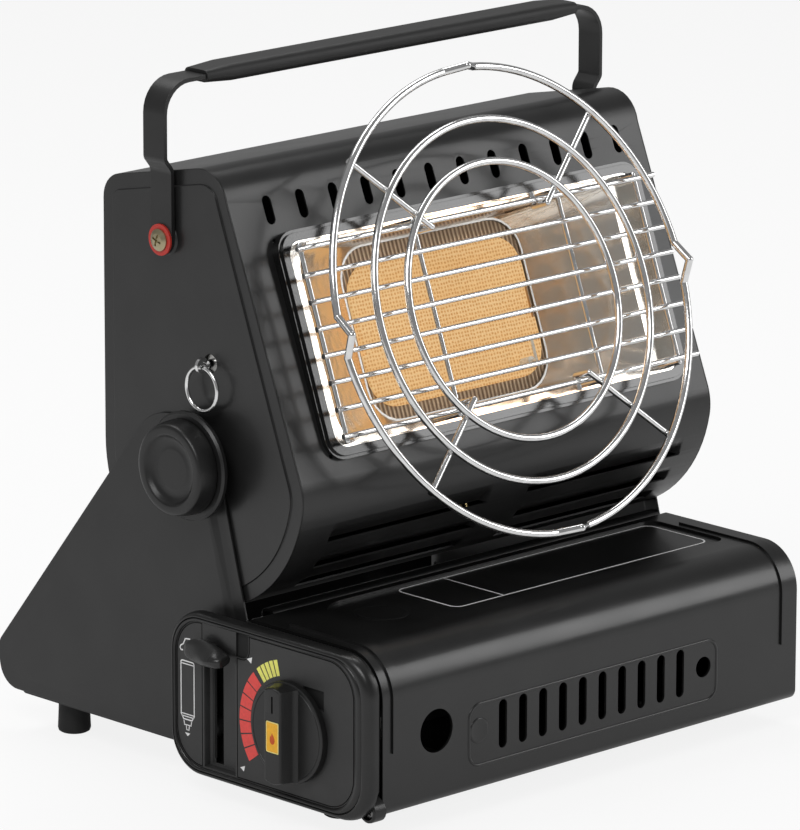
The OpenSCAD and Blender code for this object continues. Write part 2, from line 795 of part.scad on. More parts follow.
module cartridge_lever() {
    floor_x = panel_face + channel_floor - gap;
    bar_w = lever_slot_w - 2*gap;
    wing = 13;
    color([0.12, 0.12, 0.13]) placed() {
        // wing-shaped thumb piece: plan and side outline
        intersection() {
            translate([0, channel_y, lever_z - 7]) linear_extrude(12) polygon(rounded([[floor_x, 3.6],
                [panel_face - 2, 4.2], [panel_face - 3.6, wing - 2.3], [panel_face - 8, wing - 2.3],
                [panel_face - 6, -1], [panel_face - 4.6, -wing - 2.5], [panel_face - 1, -wing - 2.5],
                [panel_face - 1.6, -7], [floor_x, -6]], [0.5, 2, 1.8, 2, 6, 1.4, 1, 2, 0.5]));
            yz(panel_face - 9, floor_x + 1) translate([channel_y, lever_z]) polygon(rounded([[-wing - 3,
                -4.6],
                [0, -6.5], [wing - 2, -5], [wing - 2, 0.6], [1, 4.6], [-wing - 3, 1]], [2, 4, 2.4, 2.4,
                    5, 2]));
        }
        translate([floor_x, channel_y - bar_w/2, lever_z - lever_bar/2]) cube([lever_x + 2 - floor_x,
            bar_w, lever_bar]);
        translate([lever_x - 2, 76, lever_z - lever_bar/2]) cube([4, channel_y - 76, lever_bar]);
        rod_y(1.5, lever_x, 71, 76, lever_z);
    }
}

module cartridge_claw() {
    low = lever_z - lever_travel;
    lean = atan(claw_travel/lever_travel);
    color([0.6, 0.6, 0.62]) placed() {
        // web with the inclined cam slot
        difference() {
            translate([lever_x - 3.1, 72, low - 5]) cube([9, 2, lever_travel + 10]);
            translate([lever_x + claw_travel/2, 75, (low + lever_z)/2]) rotate([0, -lean, 0])
                rotate([90, 0, 0])
                linear_extrude(4) slot_2d(2*(1.5 + running_play + 0.05), norm([lever_travel,
                    claw_travel]) + 3.4);
        }
        translate([lever_x + 5.9, 72, 31]) cube([30.6 - lever_x - 5.9, 2, 11]);
        // fork round the regulator's collar
        difference() {
            yz(30.5, 31.7) polygon(rounded([[cartridge_y - 22, 14], [74, 14], [74, 46],
                [cartridge_y - 22, 46]], [12, 6, 3, 3]));
            rod_x(collar_r + 1.4, 30, 33, cartridge_y, cartridge_z);
            translate([30, cartridge_y - collar_r - 1.4, cartridge_z]) cube([3, 2*collar_r + 2.8, 20]);
        }
    }
}

// ---- tilt joint ----

module clamp_disc() {
    turned_x(pivot_y, pivot_z) polygon([[stud_r + gap, disc_x - disc_t], [disc_r - 1, disc_x - disc_t],
        [disc_r, disc_x - disc_t + 1], [disc_r, disc_x - 0.6], [disc_r - 0.6, disc_x], [16, disc_x],
        [16, field_x], [stud_r + gap, field_x]]);
}

module clamp_disc_left() {
    color([0.09, 0.09, 0.10]) placed() clamp_disc();
}

module clamp_disc_right() {
    color([0.09, 0.09, 0.10]) placed() on_side(1) clamp_disc();
}

module pivot_bush(x1) {
    difference() {
        rod_x(bush_r, field_x, x1, pivot_y, pivot_z);
        rod_x(stud_r + running_play, field_x - 1, x1 + 1, pivot_y, pivot_z);
    }
}

module index_plate() {
    reach = pin_reach + nose_r + 3.4;
    first = 90 + pin_lean;
    color([0.68, 0.68, 0.70]) placed() {
        pivot_bush(index_x);
        difference() {
            translate([index_x, pivot_y, pivot_z]) rotate([90, 0, 90]) union() {
                rotate([0, 0, first - 2*index_step - 12])
                    rotate_extrude(angle = 2*index_step + 24, $fn = 96) translate([stud_r + 3, 0])
                        square([reach - stud_r - 3, index_t]);
                cylinder(r = bush_r + 5, h = index_t, $fn = 64);
            }
            rod_x(stud_r + running_play, index_x - 1, index_x + index_t + 1, pivot_y, pivot_z);
            for (i = [0:2]) rod_x(nose_r + 0.1, index_x - 1, index_x + index_t + 1,
                pivot_y + pin_reach*cos(first - i*index_step), pivot_z + pin_reach*sin(first - i*index_step));
        }
    }
}

module pivot_bush_right() {
    color([0.68, 0.68, 0.70]) placed() on_side(1) {
        pivot_bush(index_x);
        difference() {
            rod_x(bush_r + 5, index_x, index_x + index_t, pivot_y, pivot_z);
            rod_x(stud_r + running_play, index_x - 1, index_x + index_t + 1, pivot_y, pivot_z);
        }
    }
}

module pivot_cup() {
    turned_x(pivot_y, pivot_z) polygon([[stud_r, cup_x], [cup_r - 2, cup_x], [cup_r, cup_x - 2],
        [cup_r, wrap_x], [cup_r - sheet, wrap_x], [cup_r - sheet, cup_x - 2 - sheet/2],
        [cup_r - 2 - sheet/2, cup_x - sheet], [stud_r, cup_x - sheet]]);
    intersection() {
        yz(wrap_x, wrap_x + head_sheet) head_section(head_sheet + 0.4);
        turned_x(pivot_y, pivot_z) polygon([[cup_r - sheet, wrap_x], [head_r - head_sheet - 0.4, wrap_x],
            [head_r - head_sheet - 0.4, wrap_x + head_sheet], [cup_r - sheet, wrap_x + head_sheet]]);
    }
}

module pivot_cup_left() {
    color([0.55, 0.55, 0.57]) placed() pivot_cup();
}

module pivot_cup_right() {
    color([0.55, 0.55, 0.57]) placed() on_side(1) pivot_cup();
}

module pivot_stud() {
    rod_x(stud_r, knob_back - 4, cup_x, pivot_y, pivot_z);
    rod_x(stud_r + 4, cup_x, cup_x + 3, pivot_y, pivot_z);
}

module pivot_stud_left() {
    color([0.75, 0.75, 0.77]) placed() pivot_stud();
}

module pivot_stud_right() {
    color([0.75, 0.75, 0.77]) placed() on_side(1) pivot_stud();
}

module clamp_knob() {
    dish_r = 0.7*knob_r;
    front_r = knob_r - knob_taper;
    difference() {
        turned_x(pivot_y, pivot_z) polygon([[0, knob_face + 2.4], [dish_r - 4, knob_face + 2.6],
            [dish_r - 0.8, knob_face + 1.6],
            [dish_r + 0.4, knob_face + 0.5], [dish_r + 1.4, knob_face], [front_r - 1.6, knob_face],
            [front_r - 0.5, knob_face + 0.4], [front_r, knob_face + 1.5], [knob_r, knob_back - 1.4],
            [knob_r - 0.8, knob_back], [0, knob_back]]);
        rod_x(stud_r + running_play, knob_back - 4.1, knob_back + 1, pivot_y, pivot_z);
    }
}

module clamp_knob_left() {
    color([0.10, 0.10, 0.11]) placed() clamp_knob();
}

module clamp_knob_right() {
    color([0.10, 0.10, 0.11]) placed() on_side(1) clamp_knob();
}

// ---- head ----

// outline of the head from the side, drawn inwards by d
function head_outline(d) =
    let (face_a = 180 - face_tilt, top_a = 90 - top_fall)
    let (p_face = meet(face_a, face_f - d, top_a, top_rise - d), p_tail = meet(top_a, top_rise - d, 0,
        head_r - d))
    let (low = face_a + fillet_a)
    concat(arc(head_r - d, 0, low - 360, 40), arc(fillet_r - d, low, face_a, 8, brow_centre(face_a)),
        corner_arc(brow_centre(face_a), p_face, p_tail, max(brow_r - d, 1), 8),
        corner_arc(p_face, p_tail, [head_r - d, 0], max(tail_r - d, 1), 8));

// middle of the soft corner between the face and the round lower part
function brow_centre(a) = (face_f - fillet_r)*[cos(a), sin(a)] - fillet_w*[sin(face_tilt), cos(face_tilt)];

module head_section(d) {
    translate([pivot_y, pivot_z]) polygon(head_outline(d));
}

module head_shell() {
    middle = base_w/2 + window_x;
    louvre_x = [middle - louvre_l - 12, middle + 12];
    color([0.11, 0.11, 0.12]) placed() {
        difference() {
            yz(wrap_x, base_w - wrap_x) difference() {
                head_section(0);
                head_section(head_sheet);
            }
            // rear opening, closed by the back
            translate([wrap_x + 18, pivot_y + head_r - 4, pivot_z - 16]) cube([base_w - 2*wrap_x - 36,
                5, 108]);
            in_window() {
                facing(face_f - 3, face_f + 3, window_up) round_rect(window_w, window_h, window_r);
                for (i = [0:vent_count - 1]) translate([(i - (vent_count - 1)/2)*vent_pitch, 0, 0])
                    facing(face_f - 3, face_f + 3, vent_up) slot_2d(vent_w, vent_l);
            }
            for (x = louvre_x, a = louvre_angles)
                yz(x, x + louvre_l) translate([pivot_y, pivot_z])
                    polygon(concat(arc(head_r + 1, a, a - louvre_span, 2), arc(head_r - 2,
                        a - louvre_span, a, 2)));
        }
        for (x = louvre_x, a = louvre_angles) translate([0, pivot_y, pivot_z]) {
            yz(x - eps, x + louvre_l + eps) polygon(strip(louvre_path(a), -head_sheet));
            for (end = [x - eps, x + louvre_l - head_sheet]) yz(end, end + head_sheet + eps)
                polygon(concat(louvre_path(a), arc(head_r, a - 0.5, a - louvre_span - 0.5, 6)));
        }
    }
}

louvre_span = 9;
louvre_angles = [for (i = [0:louvre_rows - 1]) 207 + 14.5*i];

// inner side of a louvre that sinks into the head down to its slit
function louvre_path(a) = [for (i = [0:6])
    (head_r - head_sheet - louvre_depth*pow(sin(15*i), 2))
        *[cos(a - 0.5 - louvre_span*(1 - i/6)), sin(a - 0.5 - louvre_span*(1 - i/6))]];

module head_side(pin_hole) {
    field = side_x - head_sheet;
    difference() {
        union() {
            yz(side_x, wrap_x) head_section(0);
            yz(field, side_x) head_section(head_rim);
        }
        yz(side_x, wrap_x + 1) head_section(head_rim + head_sheet);
        rod_x(bush_r + gap, field - 1, wrap_x + 1, pivot_y, pivot_z);
        rod_x(bail_screw_r, field - 1, wrap_x + 1, bail_y, bail_z);
        if (pin_hole) rod_x(pin_bush_r - 3, field - 1, wrap_x + 1, pin_y, pin_z);
    }
}

module head_side_left() {
    color([0.11, 0.11, 0.12]) placed() head_side(true);
}

module head_side_right() {
    color([0.11, 0.11, 0.12]) placed() on_side(1) head_side(false);
}

back_z0 = -22;
back_z1 = 100;
back_y = pivot_y + head_r;

module head_back() {
    color([0.11, 0.11, 0.12]) placed() difference() {
        union() {
            translate([wrap_x + 6, back_y, pivot_z + back_z0]) cube([base_w - 2*wrap_x - 12, 1,
                back_z1 - back_z0]);
            for (x = [base_w/2 - 96, base_w/2 + 6], i = [0:5]) translate([x, back_y + 1, pivot_z + 6 + 13*i])
                rotate([90, 0, 90]) linear_extrude(90) polygon([[-0.5, 5], [0, 6.5], [2, 0], [1.2, 0],
                    [0, 4]]);
        }
        for (x = [base_w/2 - 96, base_w/2 + 6], i = [0:5])
            translate([x + 1, back_y - 1, pivot_z + 6 + 13*i]) cube([88, 3 - 0.6, 3.4]);
        for (x = [14, base_w - 14], z = [-16, 94]) rod_y(1.6, x, back_y - 1, back_y + 2, pivot_z + z);
    }
}

module back_screws() {
    color([0.7, 0.7, 0.72]) placed() for (x = [14, base_w - 14], z = [-16, 94]) {
        rod_y(1.6, x, back_y, back_y + 1, pivot_z + z);
        rod_y(3.2, x, back_y + 1, back_y + 2.6, pivot_z + z);
    }
}

// ---- window, reflector and burner ----

// pressed rim round the window, hollow behind
module window_frame() {
    color([0.12, 0.11, 0.11]) placed() in_window() difference() {
        union() {
            facing(face_f - 3, face_f + rim_h - 1.2, window_up) round_rect(window_w, window_h, window_r);
            facing(face_f - 3, face_f + rim_h, window_up) round_rect(window_w - 3, window_h - 3,
                window_r - 1.5);
        }
        facing(face_f - 4, face_f + rim_h + 1, window_up) round_rect(tray_w, tray_h, tray_r);
        facing(face_f - 4, face_f + rim_h - 1.2 - head_sheet, window_up) difference() {
            round_rect(window_w - 2*head_sheet, window_h - 2*head_sheet, window_r - head_sheet);
            round_rect(tray_w + 2*head_sheet, tray_h + 2*head_sheet, tray_r + head_sheet);
        }
    }
}

tray_r = window_r - rim_t + 2;
ledge_f = face_f - frame_depth;
box_wall = 1;
holder_w = plaque_w + 3;
holder_r = plaque_r + 1;
box_w = holder_w + 2*box_wall;
box_h = holder_h + 2*box_wall;
box_r = holder_r + box_wall;
box_front = face_f - plaque_depth;

// funnel between the ledge and the burner box, grown by t
module funnel(t) {
    top_w = tray_w - 2*head_sheet - 2*ledge_w;
    top_h = tray_h - 2*head_sheet - 2*ledge_h;
    hull() {
        facing(ledge_f - eps, ledge_f, window_up) round_rect(top_w + 2*t, top_h + 2*t, window_r + t);
        facing(box_front, box_front + eps, window_up) round_rect(box_w + 2*t, box_h + 2*t, box_r + t);
    }
}

// polished tray: rim inside the window frame, ledge and funnel
module reflector() {
    color([0.83, 0.83, 0.85]) placed() in_window() difference() {
        union() {
            funnel(head_sheet);
            facing(ledge_f - head_sheet, face_f + rim_h - 0.6, window_up) round_rect(tray_w, tray_h, tray_r);
        }
        facing(ledge_f, face_f + rim_h, window_up)
            round_rect(tray_w - 2*head_sheet, tray_h - 2*head_sheet, tray_r - head_sheet);
        funnel(0);
        facing(box_front - 1, box_front + eps/2, window_up) round_rect(box_w, box_h, box_r);
    }
}

module ceramic_plaque() {
    color([0.95, 0.72, 0.42]) placed() in_window() difference() {
        facing(box_front - plaque_t, box_front, window_up - plaque_drop) round_rect(plaque_w, plaque_h,
            plaque_r);
        for (s = [-1, 1]) facing(box_front - 3, box_front + 1, window_up - plaque_drop)
            translate([s*plaque_w/2, 0]) square([4, 14], center = true);
    }
}

// sheet frame that holds the plaque between its front and rear flanges
module plaque_holder() {
    sides = 0.7;
    color([0.66, 0.60, 0.54]) placed() in_window() difference() {
        facing(box_front - plaque_t - 1, box_front - 1, window_up) round_rect(holder_w, holder_h, holder_r);
        facing(box_front - plaque_t, box_front, window_up - plaque_drop) round_rect(plaque_w, plaque_h,
            plaque_r);
        facing(box_front - plaque_t - 2, box_front, window_up - plaque_drop)
            round_rect(plaque_w - 4, plaque_h - 4, plaque_r - 2);
        facing(box_front - plaque_t, box_front - 2, window_up)
            round_rect(holder_w - 2*sides, holder_h - 2*sides, holder_r - sides);
    }
}

module burner_box() {
    back = box_front - 34;
    color([0.58, 0.58, 0.60]) placed() in_window() difference() {
        facing(back, box_front, window_up) round_rect(box_w, box_h, box_r);
        facing(back + box_wall, face_f, window_up) round_rect(holder_w, holder_h, holder_r);
        translate([0, -(back + 14), window_up - box_h/2 - 1]) cylinder(r = mixer_r - 1, h = 8, $fn = 64);
    }
}

mixer_f = box_front - 20;

module mixing_tube() {
    top = window_up - box_h/2;
    color([0.62, 0.62, 0.64]) placed() in_window() translate([0, -mixer_f, 0]) difference() {
        union() {
            translate([0, 0, top - 34]) cylinder(r = mixer_r, h = 34, $fn = 64);
            translate([0, 0, top - 2]) cylinder(r = mixer_r + 4, h = 2, $fn = 64);
        }
        translate([0, 0, top - 32]) cylinder(r = mixer_r - 1, h = 33, $fn = 64);
        translate([0, 0, top - 35]) cylinder(r = 4, h = 4, $fn = 48);
        for (a = [0, 90]) translate([0, 0, top - 26]) rotate([0, 0, a]) cube([3*mixer_r, 7, 7],
            center = true);
    }
}

module gas_injector() {
    top = window_up - box_h/2 - 34;
    color([0.8, 0.66, 0.3]) placed() in_window() translate([0, -mixer_f, 0]) difference() {
        union() {
            translate([0, 0, top - 6]) cylinder(r = 6.5, h = 6, $fn = 6);
            translate([0, 0, top]) cylinder(r = 4, h = 2, $fn = 48);
            translate([0, 0, top + 2]) cylinder(r1 = 4, r2 = 2, h = 3, $fn = 48);
            translate([0, 0, top - 10]) cylinder(r = 3.6, h = 4, $fn = 48);
        }
        translate([0, 0, top - 11]) cylinder(r = 1.4, h = 14, $fn = 32);
        translate([0, 0, top]) cylinder(r = 0.5, h = 6, $fn = 24);
    }
}

module ignition_electrode() {
    x = plaque_w/2 - 14;
    z = window_up - plaque_drop - plaque_h/2 + 6;
    f = box_front;
    color([0.93, 0.92, 0.88]) placed() in_window() {
        translate([x, -f, z]) rotate([90, 0, 0]) cylinder(r = 2.2, h = 6, $fn = 32);
        wire([x, -f - 5, z], [x, -f - 9, z], 0.7);
        wire([x, -f - 9, z], [x, -f - 9, z + 9], 0.7);
        knot([x, -f - 9, z], 0.7);
    }
}

// ---- grille and guard ----

post_r = 0.9*grille_wire_r;
grille_y = -(face_f + grille_f);

// level wires
module grille() {
    color([0.85, 0.85, 0.87]) placed() in_window()
        for (i = [0:grille_rows - 1]) let (z = window_up + (i - (grille_rows - 1)/2)*grille_pitch)
            wire([grille_left, grille_y, z], [grille_right, grille_y, z], grille_wire_r);
}

// upright wires behind the level ones, bent back on to the reflector's ledge
module grille_posts() {
    y = grille_y + grille_wire_r + post_r;
    leg_z = grille_top + 2;
    leg_x = tray_w/2 - tray_r + 0.5;
    elbow = -(face_f + rim_h + 3);
    color([0.85, 0.85, 0.87]) placed() in_window() for (x = post_places) {
        wire([x, y, window_up - leg_z], [x, y, window_up + leg_z], post_r);
        for (s = [-1, 1]) let (z = window_up + s*leg_z, foot_x = max(x, -leg_x)) {
            knot([x, y, z], post_r);
            wire([x, y, z], [foot_x, elbow, z], post_r);
            knot([foot_x, elbow, z], post_r);
            wire([foot_x, elbow, z], [foot_x, -ledge_f, z], post_r);
        }
    }
}

// height and half angle of the bumps on the outer guard ring
bump_h = 6.5;
bump_a = 5;
spoke_r = guard_wire_r*0.8;

module ring_arc(r, from, turn) {
    rotate([90, 0, 0]) rotate([0, 0, from])
        rotate_extrude(angle = turn, $fn = 96) translate([r, 0]) circle(r = guard_wire_r, $fn = 24);
}

module guard_rings() {
    f = face_f + guard_f;
    outer = guard_radii[0];
    color([0.86, 0.86, 0.88]) placed() in_head() translate([0, -f, window_up]) {
        for (k = [0:3]) rotate([0, 90*k, 0]) {
            ring_arc(outer, bump_a, 90 - 2*bump_a);
            knot([outer, -bump_h, 0], guard_wire_r);
            for (s = [-1, 1]) let (end = [outer*cos(bump_a), 0, s*outer*sin(bump_a)]) {
                knot(end, guard_wire_r);
                wire(end, [outer, -bump_h, 0], guard_wire_r);
            }
        }
        for (i = [1:len(guard_radii) - 1]) ring_arc(guard_radii[i], 0, 360);
        for (sx = [-1, 1], sz = [-1, 1]) guard_spoke(sx, sz);
    }
}

// spoke behind the rings, bent back beside a post and up behind the grille's outer wire
module guard_spoke(sx, sz) {
    front = guard_wire_r + spoke_r - 0.8;
    rear = guard_f - grille_f + grille_wire_r + spoke_r + 0.05;
    z = sz*(grille_top - grille_wire_r - spoke_r - 0.05);
    x = sx*(abs(z) - 3.1);
    tip = (guard_radii[0] + 0.6)/sqrt(2);
    wire([x, front, z], [sx*tip, front, sz*tip], spoke_r);
    knot([x, front, z], spoke_r);
    wire([x, front, z], [x, rear, z], spoke_r);
    knot([x, rear, z], spoke_r);
    wire([x, rear, z], [x, rear, z + 6.5*sz], spoke_r);
}

// ---- carrying handle ----

function strap_path(off) =
    bent([[strap_x + off, bail_z - 9], [strap_x + off, bail_z + jog_z], [strap_x - jog + off,
        bail_z + jog_z + 5],
        [strap_x - jog + off, bail_top - off], [base_w/2, bail_top - off]], [4, 4, bend_r - off], 8);

module handle_strap() {
    color([0.12, 0.12, 0.13]) placed() difference() {
        for (s = [0, 1]) on_side(s) translate([0, bail_y + strap_w/2, 0]) rotate([90, 0, 0])
            linear_extrude(strap_w) polygon(strip(strap_path(0), -strap_t));
        for (s = [0, 1]) on_side(s) {
            rod_x(bail_screw_r + running_play, strap_x - 1, strap_x + strap_t + 1, bail_y, bail_z);
            // rounded foot of the arm
            difference() {
                translate([strap_x - 1, bail_y - 10, bail_z - 12]) cube([strap_t + 2, 20, 12]);
                rod_x(strap_w/2, strap_x - 2, strap_x + strap_t + 2, bail_y, bail_z);
            }
        }
    }
}

// outline of the grip sleeve, drawn inwards by d
module sleeve_2d(d) {
    h = strap_t + 2*sleeve_h - 2*d;
    round_rect(strap_w + 2*sleeve_t - 2*d, h, 0.46*h);
}

module grip_sleeve() {
    tight = min(sleeve_t, sleeve_h) - 0.7;
    body_l = sleeve_l - 2*sleeve_taper;
    color([0.07, 0.07, 0.07]) placed() translate([base_w/2 + sleeve_x, bail_y, bail_top - strap_t/2])
        rotate([90, 0, 90]) difference() {
            union() {
                translate([0, 0, -body_l/2]) linear_extrude(body_l) sleeve_2d(0);
                for (s = [-1, 1]) hull() {
                    translate([0, 0, s*body_l/2 - eps/2]) linear_extrude(eps) sleeve_2d(0);
                    translate([0, 0, s*(sleeve_l/2 - 0.5) - 0.5]) linear_extrude(1) sleeve_2d(tight);
                }
            }
            translate([0, 0, -sleeve_l]) linear_extrude(2*sleeve_l) square([strap_w, strap_t], center = true);
        }
}

module handle_washers() {
    color([0.8, 0.16, 0.12]) placed() for (s = [0, 1]) on_side(s) difference() {
        rod_x(7, strap_x - 1, strap_x, bail_y, bail_z);
        rod_x(bail_screw_r + running_play, strap_x - 2, strap_x + 1, bail_y, bail_z);
    }
}

module handle_screws() {
    head_x0 = strap_x - 1 - 2;
    color([0.78, 0.78, 0.80]) placed() for (s = [0, 1]) on_side(s) difference() {
        union() {
            rod_x(bail_screw_r, head_x0 + 1.9, wrap_x + 6, bail_y, bail_z);
            turned_x(bail_y, bail_z) polygon([[0, head_x0], [3, head_x0 + 0.3], [4.9, head_x0 + 1.3],
                [5, head_x0 + 1.9], [0, head_x0 + 1.9]]);
        }
        for (a = [20, 110]) translate([head_x0, bail_y, bail_z]) rotate([a, 0, 0]) cube([1.8, 1, 5.6],
            center = true);
    }
}

module handle_bosses() {
    color([0.09, 0.09, 0.10]) placed() for (s = [0, 1]) on_side(s) difference() {
        turned_x(bail_y, bail_z) polygon([[bail_screw_r, strap_x + strap_t + 0.1], [6.4,
            strap_x + strap_t + 0.1],
            [7.4, side_x - head_sheet], [bail_screw_r, side_x - head_sheet]]);
    }
}

// ---- tilt lock ----

module lock_pin_bush() {
    cavity_r = nose_r + 1.9;
    color([0.6, 0.6, 0.62]) placed() difference() {
        rod_x(pin_bush_r, wrap_x, index_x - 0.4, pin_y, pin_z);
        rod_x(cavity_r, wrap_x + 1, index_x - 0.4 - guide_l, pin_y, pin_z);
        rod_x(nose_r + running_play, index_x - 1 - guide_l, index_x, pin_y, pin_z);
        rod_x(1.9 + running_play, wrap_x - 1, wrap_x + 2, pin_y, pin_z);
    }
}

module lock_pin() {
    color([0.8, 0.8, 0.82]) placed() {
        rod_x(1.9, field_x + 1.6, collar_pin_x, pin_y, pin_z);
        rod_x(nose_r + 1.5, collar_pin_x, collar_pin_x + pin_collar, pin_y, pin_z);
        rod_x(nose_r, collar_pin_x + pin_collar, nose_x, pin_y, pin_z);
        // eye for the pull ring
        difference() {
            union() {
                rod_y(eye_r + eye_wire_r, ring_x, pin_y - eye_wire_r, pin_y + eye_wire_r, pin_z);
                translate([ring_x, pin_y - eye_wire_r, pin_z - 1.6]) cube([field_x + 2 - ring_x,
                    2*eye_wire_r, 3.2]);
            }
            rod_y(eye_r - eye_wire_r, ring_x, pin_y - 2, pin_y + 2, pin_z);
        }
    }
}

module pull_ring() {
    color([0.85, 0.85, 0.87]) placed() translate([ring_x, pin_y, ring_top - ring_r])
        rotate([0, 90, 0]) rotate_extrude($fn = 96) translate([ring_r - ring_wire_r, 0])
            circle(r = ring_wire_r, $fn = 16);
}

side_plate_left();
side_plate_right();
floor_pan();
bay_rear_wall();
cartridge_cradle();
valve_bracket();
gas_regulator();
outlet_nipple();
piezo_igniter();
control_panel();
panel_screws();
rubber_feet();
foot_rivets();
cover_hinge_pins();
clamp_disc_left();
clamp_disc_right();
index_plate();
pivot_bush_right();
cartridge_cover();
control_dial();
dial_insert();
valve_spindle();
cartridge_lever();
cartridge_claw();
head_shell();
head_side_left();
head_side_right();
head_back();
window_frame();
reflector();
ceramic_plaque();
plaque_holder();
burner_box();
mixing_tube();
gas_injector();
ignition_electrode();
grille();
grille_posts();
guard_rings();
pivot_cup_left();
pivot_cup_right();
pivot_stud_left();
pivot_stud_right();
lock_pin_bush();
handle_screws();
handle_bosses();
back_screws();
handle_strap();
grip_sleeve();
handle_washers();
clamp_knob_left();
clamp_knob_right();
lock_pin();
pull_ring();
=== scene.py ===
import json
import math

import bmesh
import bpy
from mathutils import Matrix, Vector


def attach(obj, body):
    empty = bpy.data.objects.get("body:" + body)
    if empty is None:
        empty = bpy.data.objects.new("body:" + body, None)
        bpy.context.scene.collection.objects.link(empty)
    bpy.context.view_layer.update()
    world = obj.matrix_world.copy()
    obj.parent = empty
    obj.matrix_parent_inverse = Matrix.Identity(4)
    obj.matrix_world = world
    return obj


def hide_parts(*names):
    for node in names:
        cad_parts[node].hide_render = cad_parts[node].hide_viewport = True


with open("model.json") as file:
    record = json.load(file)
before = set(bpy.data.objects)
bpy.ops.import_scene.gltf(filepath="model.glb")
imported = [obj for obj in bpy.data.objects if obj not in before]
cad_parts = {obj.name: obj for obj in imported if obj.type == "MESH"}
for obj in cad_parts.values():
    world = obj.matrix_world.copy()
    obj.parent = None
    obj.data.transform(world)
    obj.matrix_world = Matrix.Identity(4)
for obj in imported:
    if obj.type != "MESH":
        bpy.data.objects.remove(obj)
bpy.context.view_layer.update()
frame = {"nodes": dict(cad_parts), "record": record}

# Sizes are millimetres from the housing's front left lower corner: x to the right, y to the
# rear, z up. SHELL is that corner in the row frame.
SHELL = Vector((-126.4, -121.963, 11.0))
MM = 0.001

# width over the side plates, height of the cartridge bay, and the head's tilt axis
BASE_W = 260.0
BAY_H = 71.8
PIVOT = Vector((BASE_W / 2, 116.0, 135.5))
# lean of the head's front face and its distance from the axis
FACE_TILT = math.radians(20.4)
FACE_F = 58.5
# middle of the window beside the heater's middle and up the face, and its opening
WINDOW_X = 3.2
WINDOW_UP = 37.0
WINDOW_W = 224.0
WINDOW_H = 102.0

TO_ROW = Matrix.Scale(MM, 4) @ Matrix.Translation(SHELL)


def at(x, y, z):
    """Shell millimetres to row metres."""
    return TO_ROW @ Vector((x, y, z))


def axes(origin, u, v, w):
    """Turns local millimetres u, v, w into shell millimetres."""
    turn = Matrix((Vector(u), Vector(v), Vector(w))).transposed().to_4x4()
    return Matrix.Translation(Vector(origin)) @ turn


# Work planes: w is the way out of the surface.
def left_end(x):
    return axes((x, 0, 0), (0, 1, 0), (0, 0, 1), (-1, 0, 0))


def right_end(x):
    return axes((x, 0, 0), (0, 1, 0), (0, 0, 1), (1, 0, 0))


# on the panel u runs to the rear, v up and w out to the left
PANEL = left_end(0)
FRONT = axes((0, 0, 0), (1, 0, 0), (0, 0, 1), (0, -1, 0))
TOP = axes((0, 0, BAY_H), (1, 0, 0), (0, 1, 0), (0, 0, 1))
FACE = axes(PIVOT, (1, 0, 0), (0, math.sin(FACE_TILT), math.cos(FACE_TILT)),
            (0, -math.cos(FACE_TILT), math.sin(FACE_TILT)))
WINDOW = FACE @ Matrix.Translation((WINDOW_X, WINDOW_UP, FACE_F))


# ---- materials ----

class Val:
    """An output socket that takes part in Python arithmetic."""

    def __init__(self, owner, socket):
        self.owner = owner
        self.socket = socket

    def math(self, operation, *others):
        return self.owner.node("ShaderNodeMath", {"operation": operation}, (self,) + others)

    def __add__(self, other):
        return self.math("ADD", other)

    __radd__ = __add__

    def __mul__(self, other):
        return self.math("MULTIPLY", other)

    __rmul__ = __mul__

    def __sub__(self, other):
        return self.math("SUBTRACT", other)

    def __rsub__(self, other):
        return self.owner.node("ShaderNodeMath", {"operation": "SUBTRACT"}, (other, self))


class Nodes:
    """A node tree that nodes are added to."""

    def __init__(self, tree):
        self.tree = tree

    def link(self, value, socket):
        if isinstance(value, Val):
            self.tree.links.new(value.socket, socket)
        else:
            socket.default_value = value

    def node(self, kind, settings=None, values=(), out=0):
        """Adds a node; values are its sockets by place or by name. Gives its output, by place or name."""
        made = self.tree.nodes.new(kind)
        for key, value in (settings or {}).items():
            if key == "stops":
                ramp = made.color_ramp
                while len(ramp.elements) < len(value):
                    ramp.elements.new(0.5)
                for element, (place, colour) in zip(ramp.elements, value):
                    element.position = place
                    element.color = (*colour, 1.0)
            else:
                setattr(made, key, value)
        pairs = values.items() if isinstance(values, dict) else enumerate(values)
        for key, value in pairs:
            self.link(value, made.inputs[key])
        return Val(self, made.outputs[out])


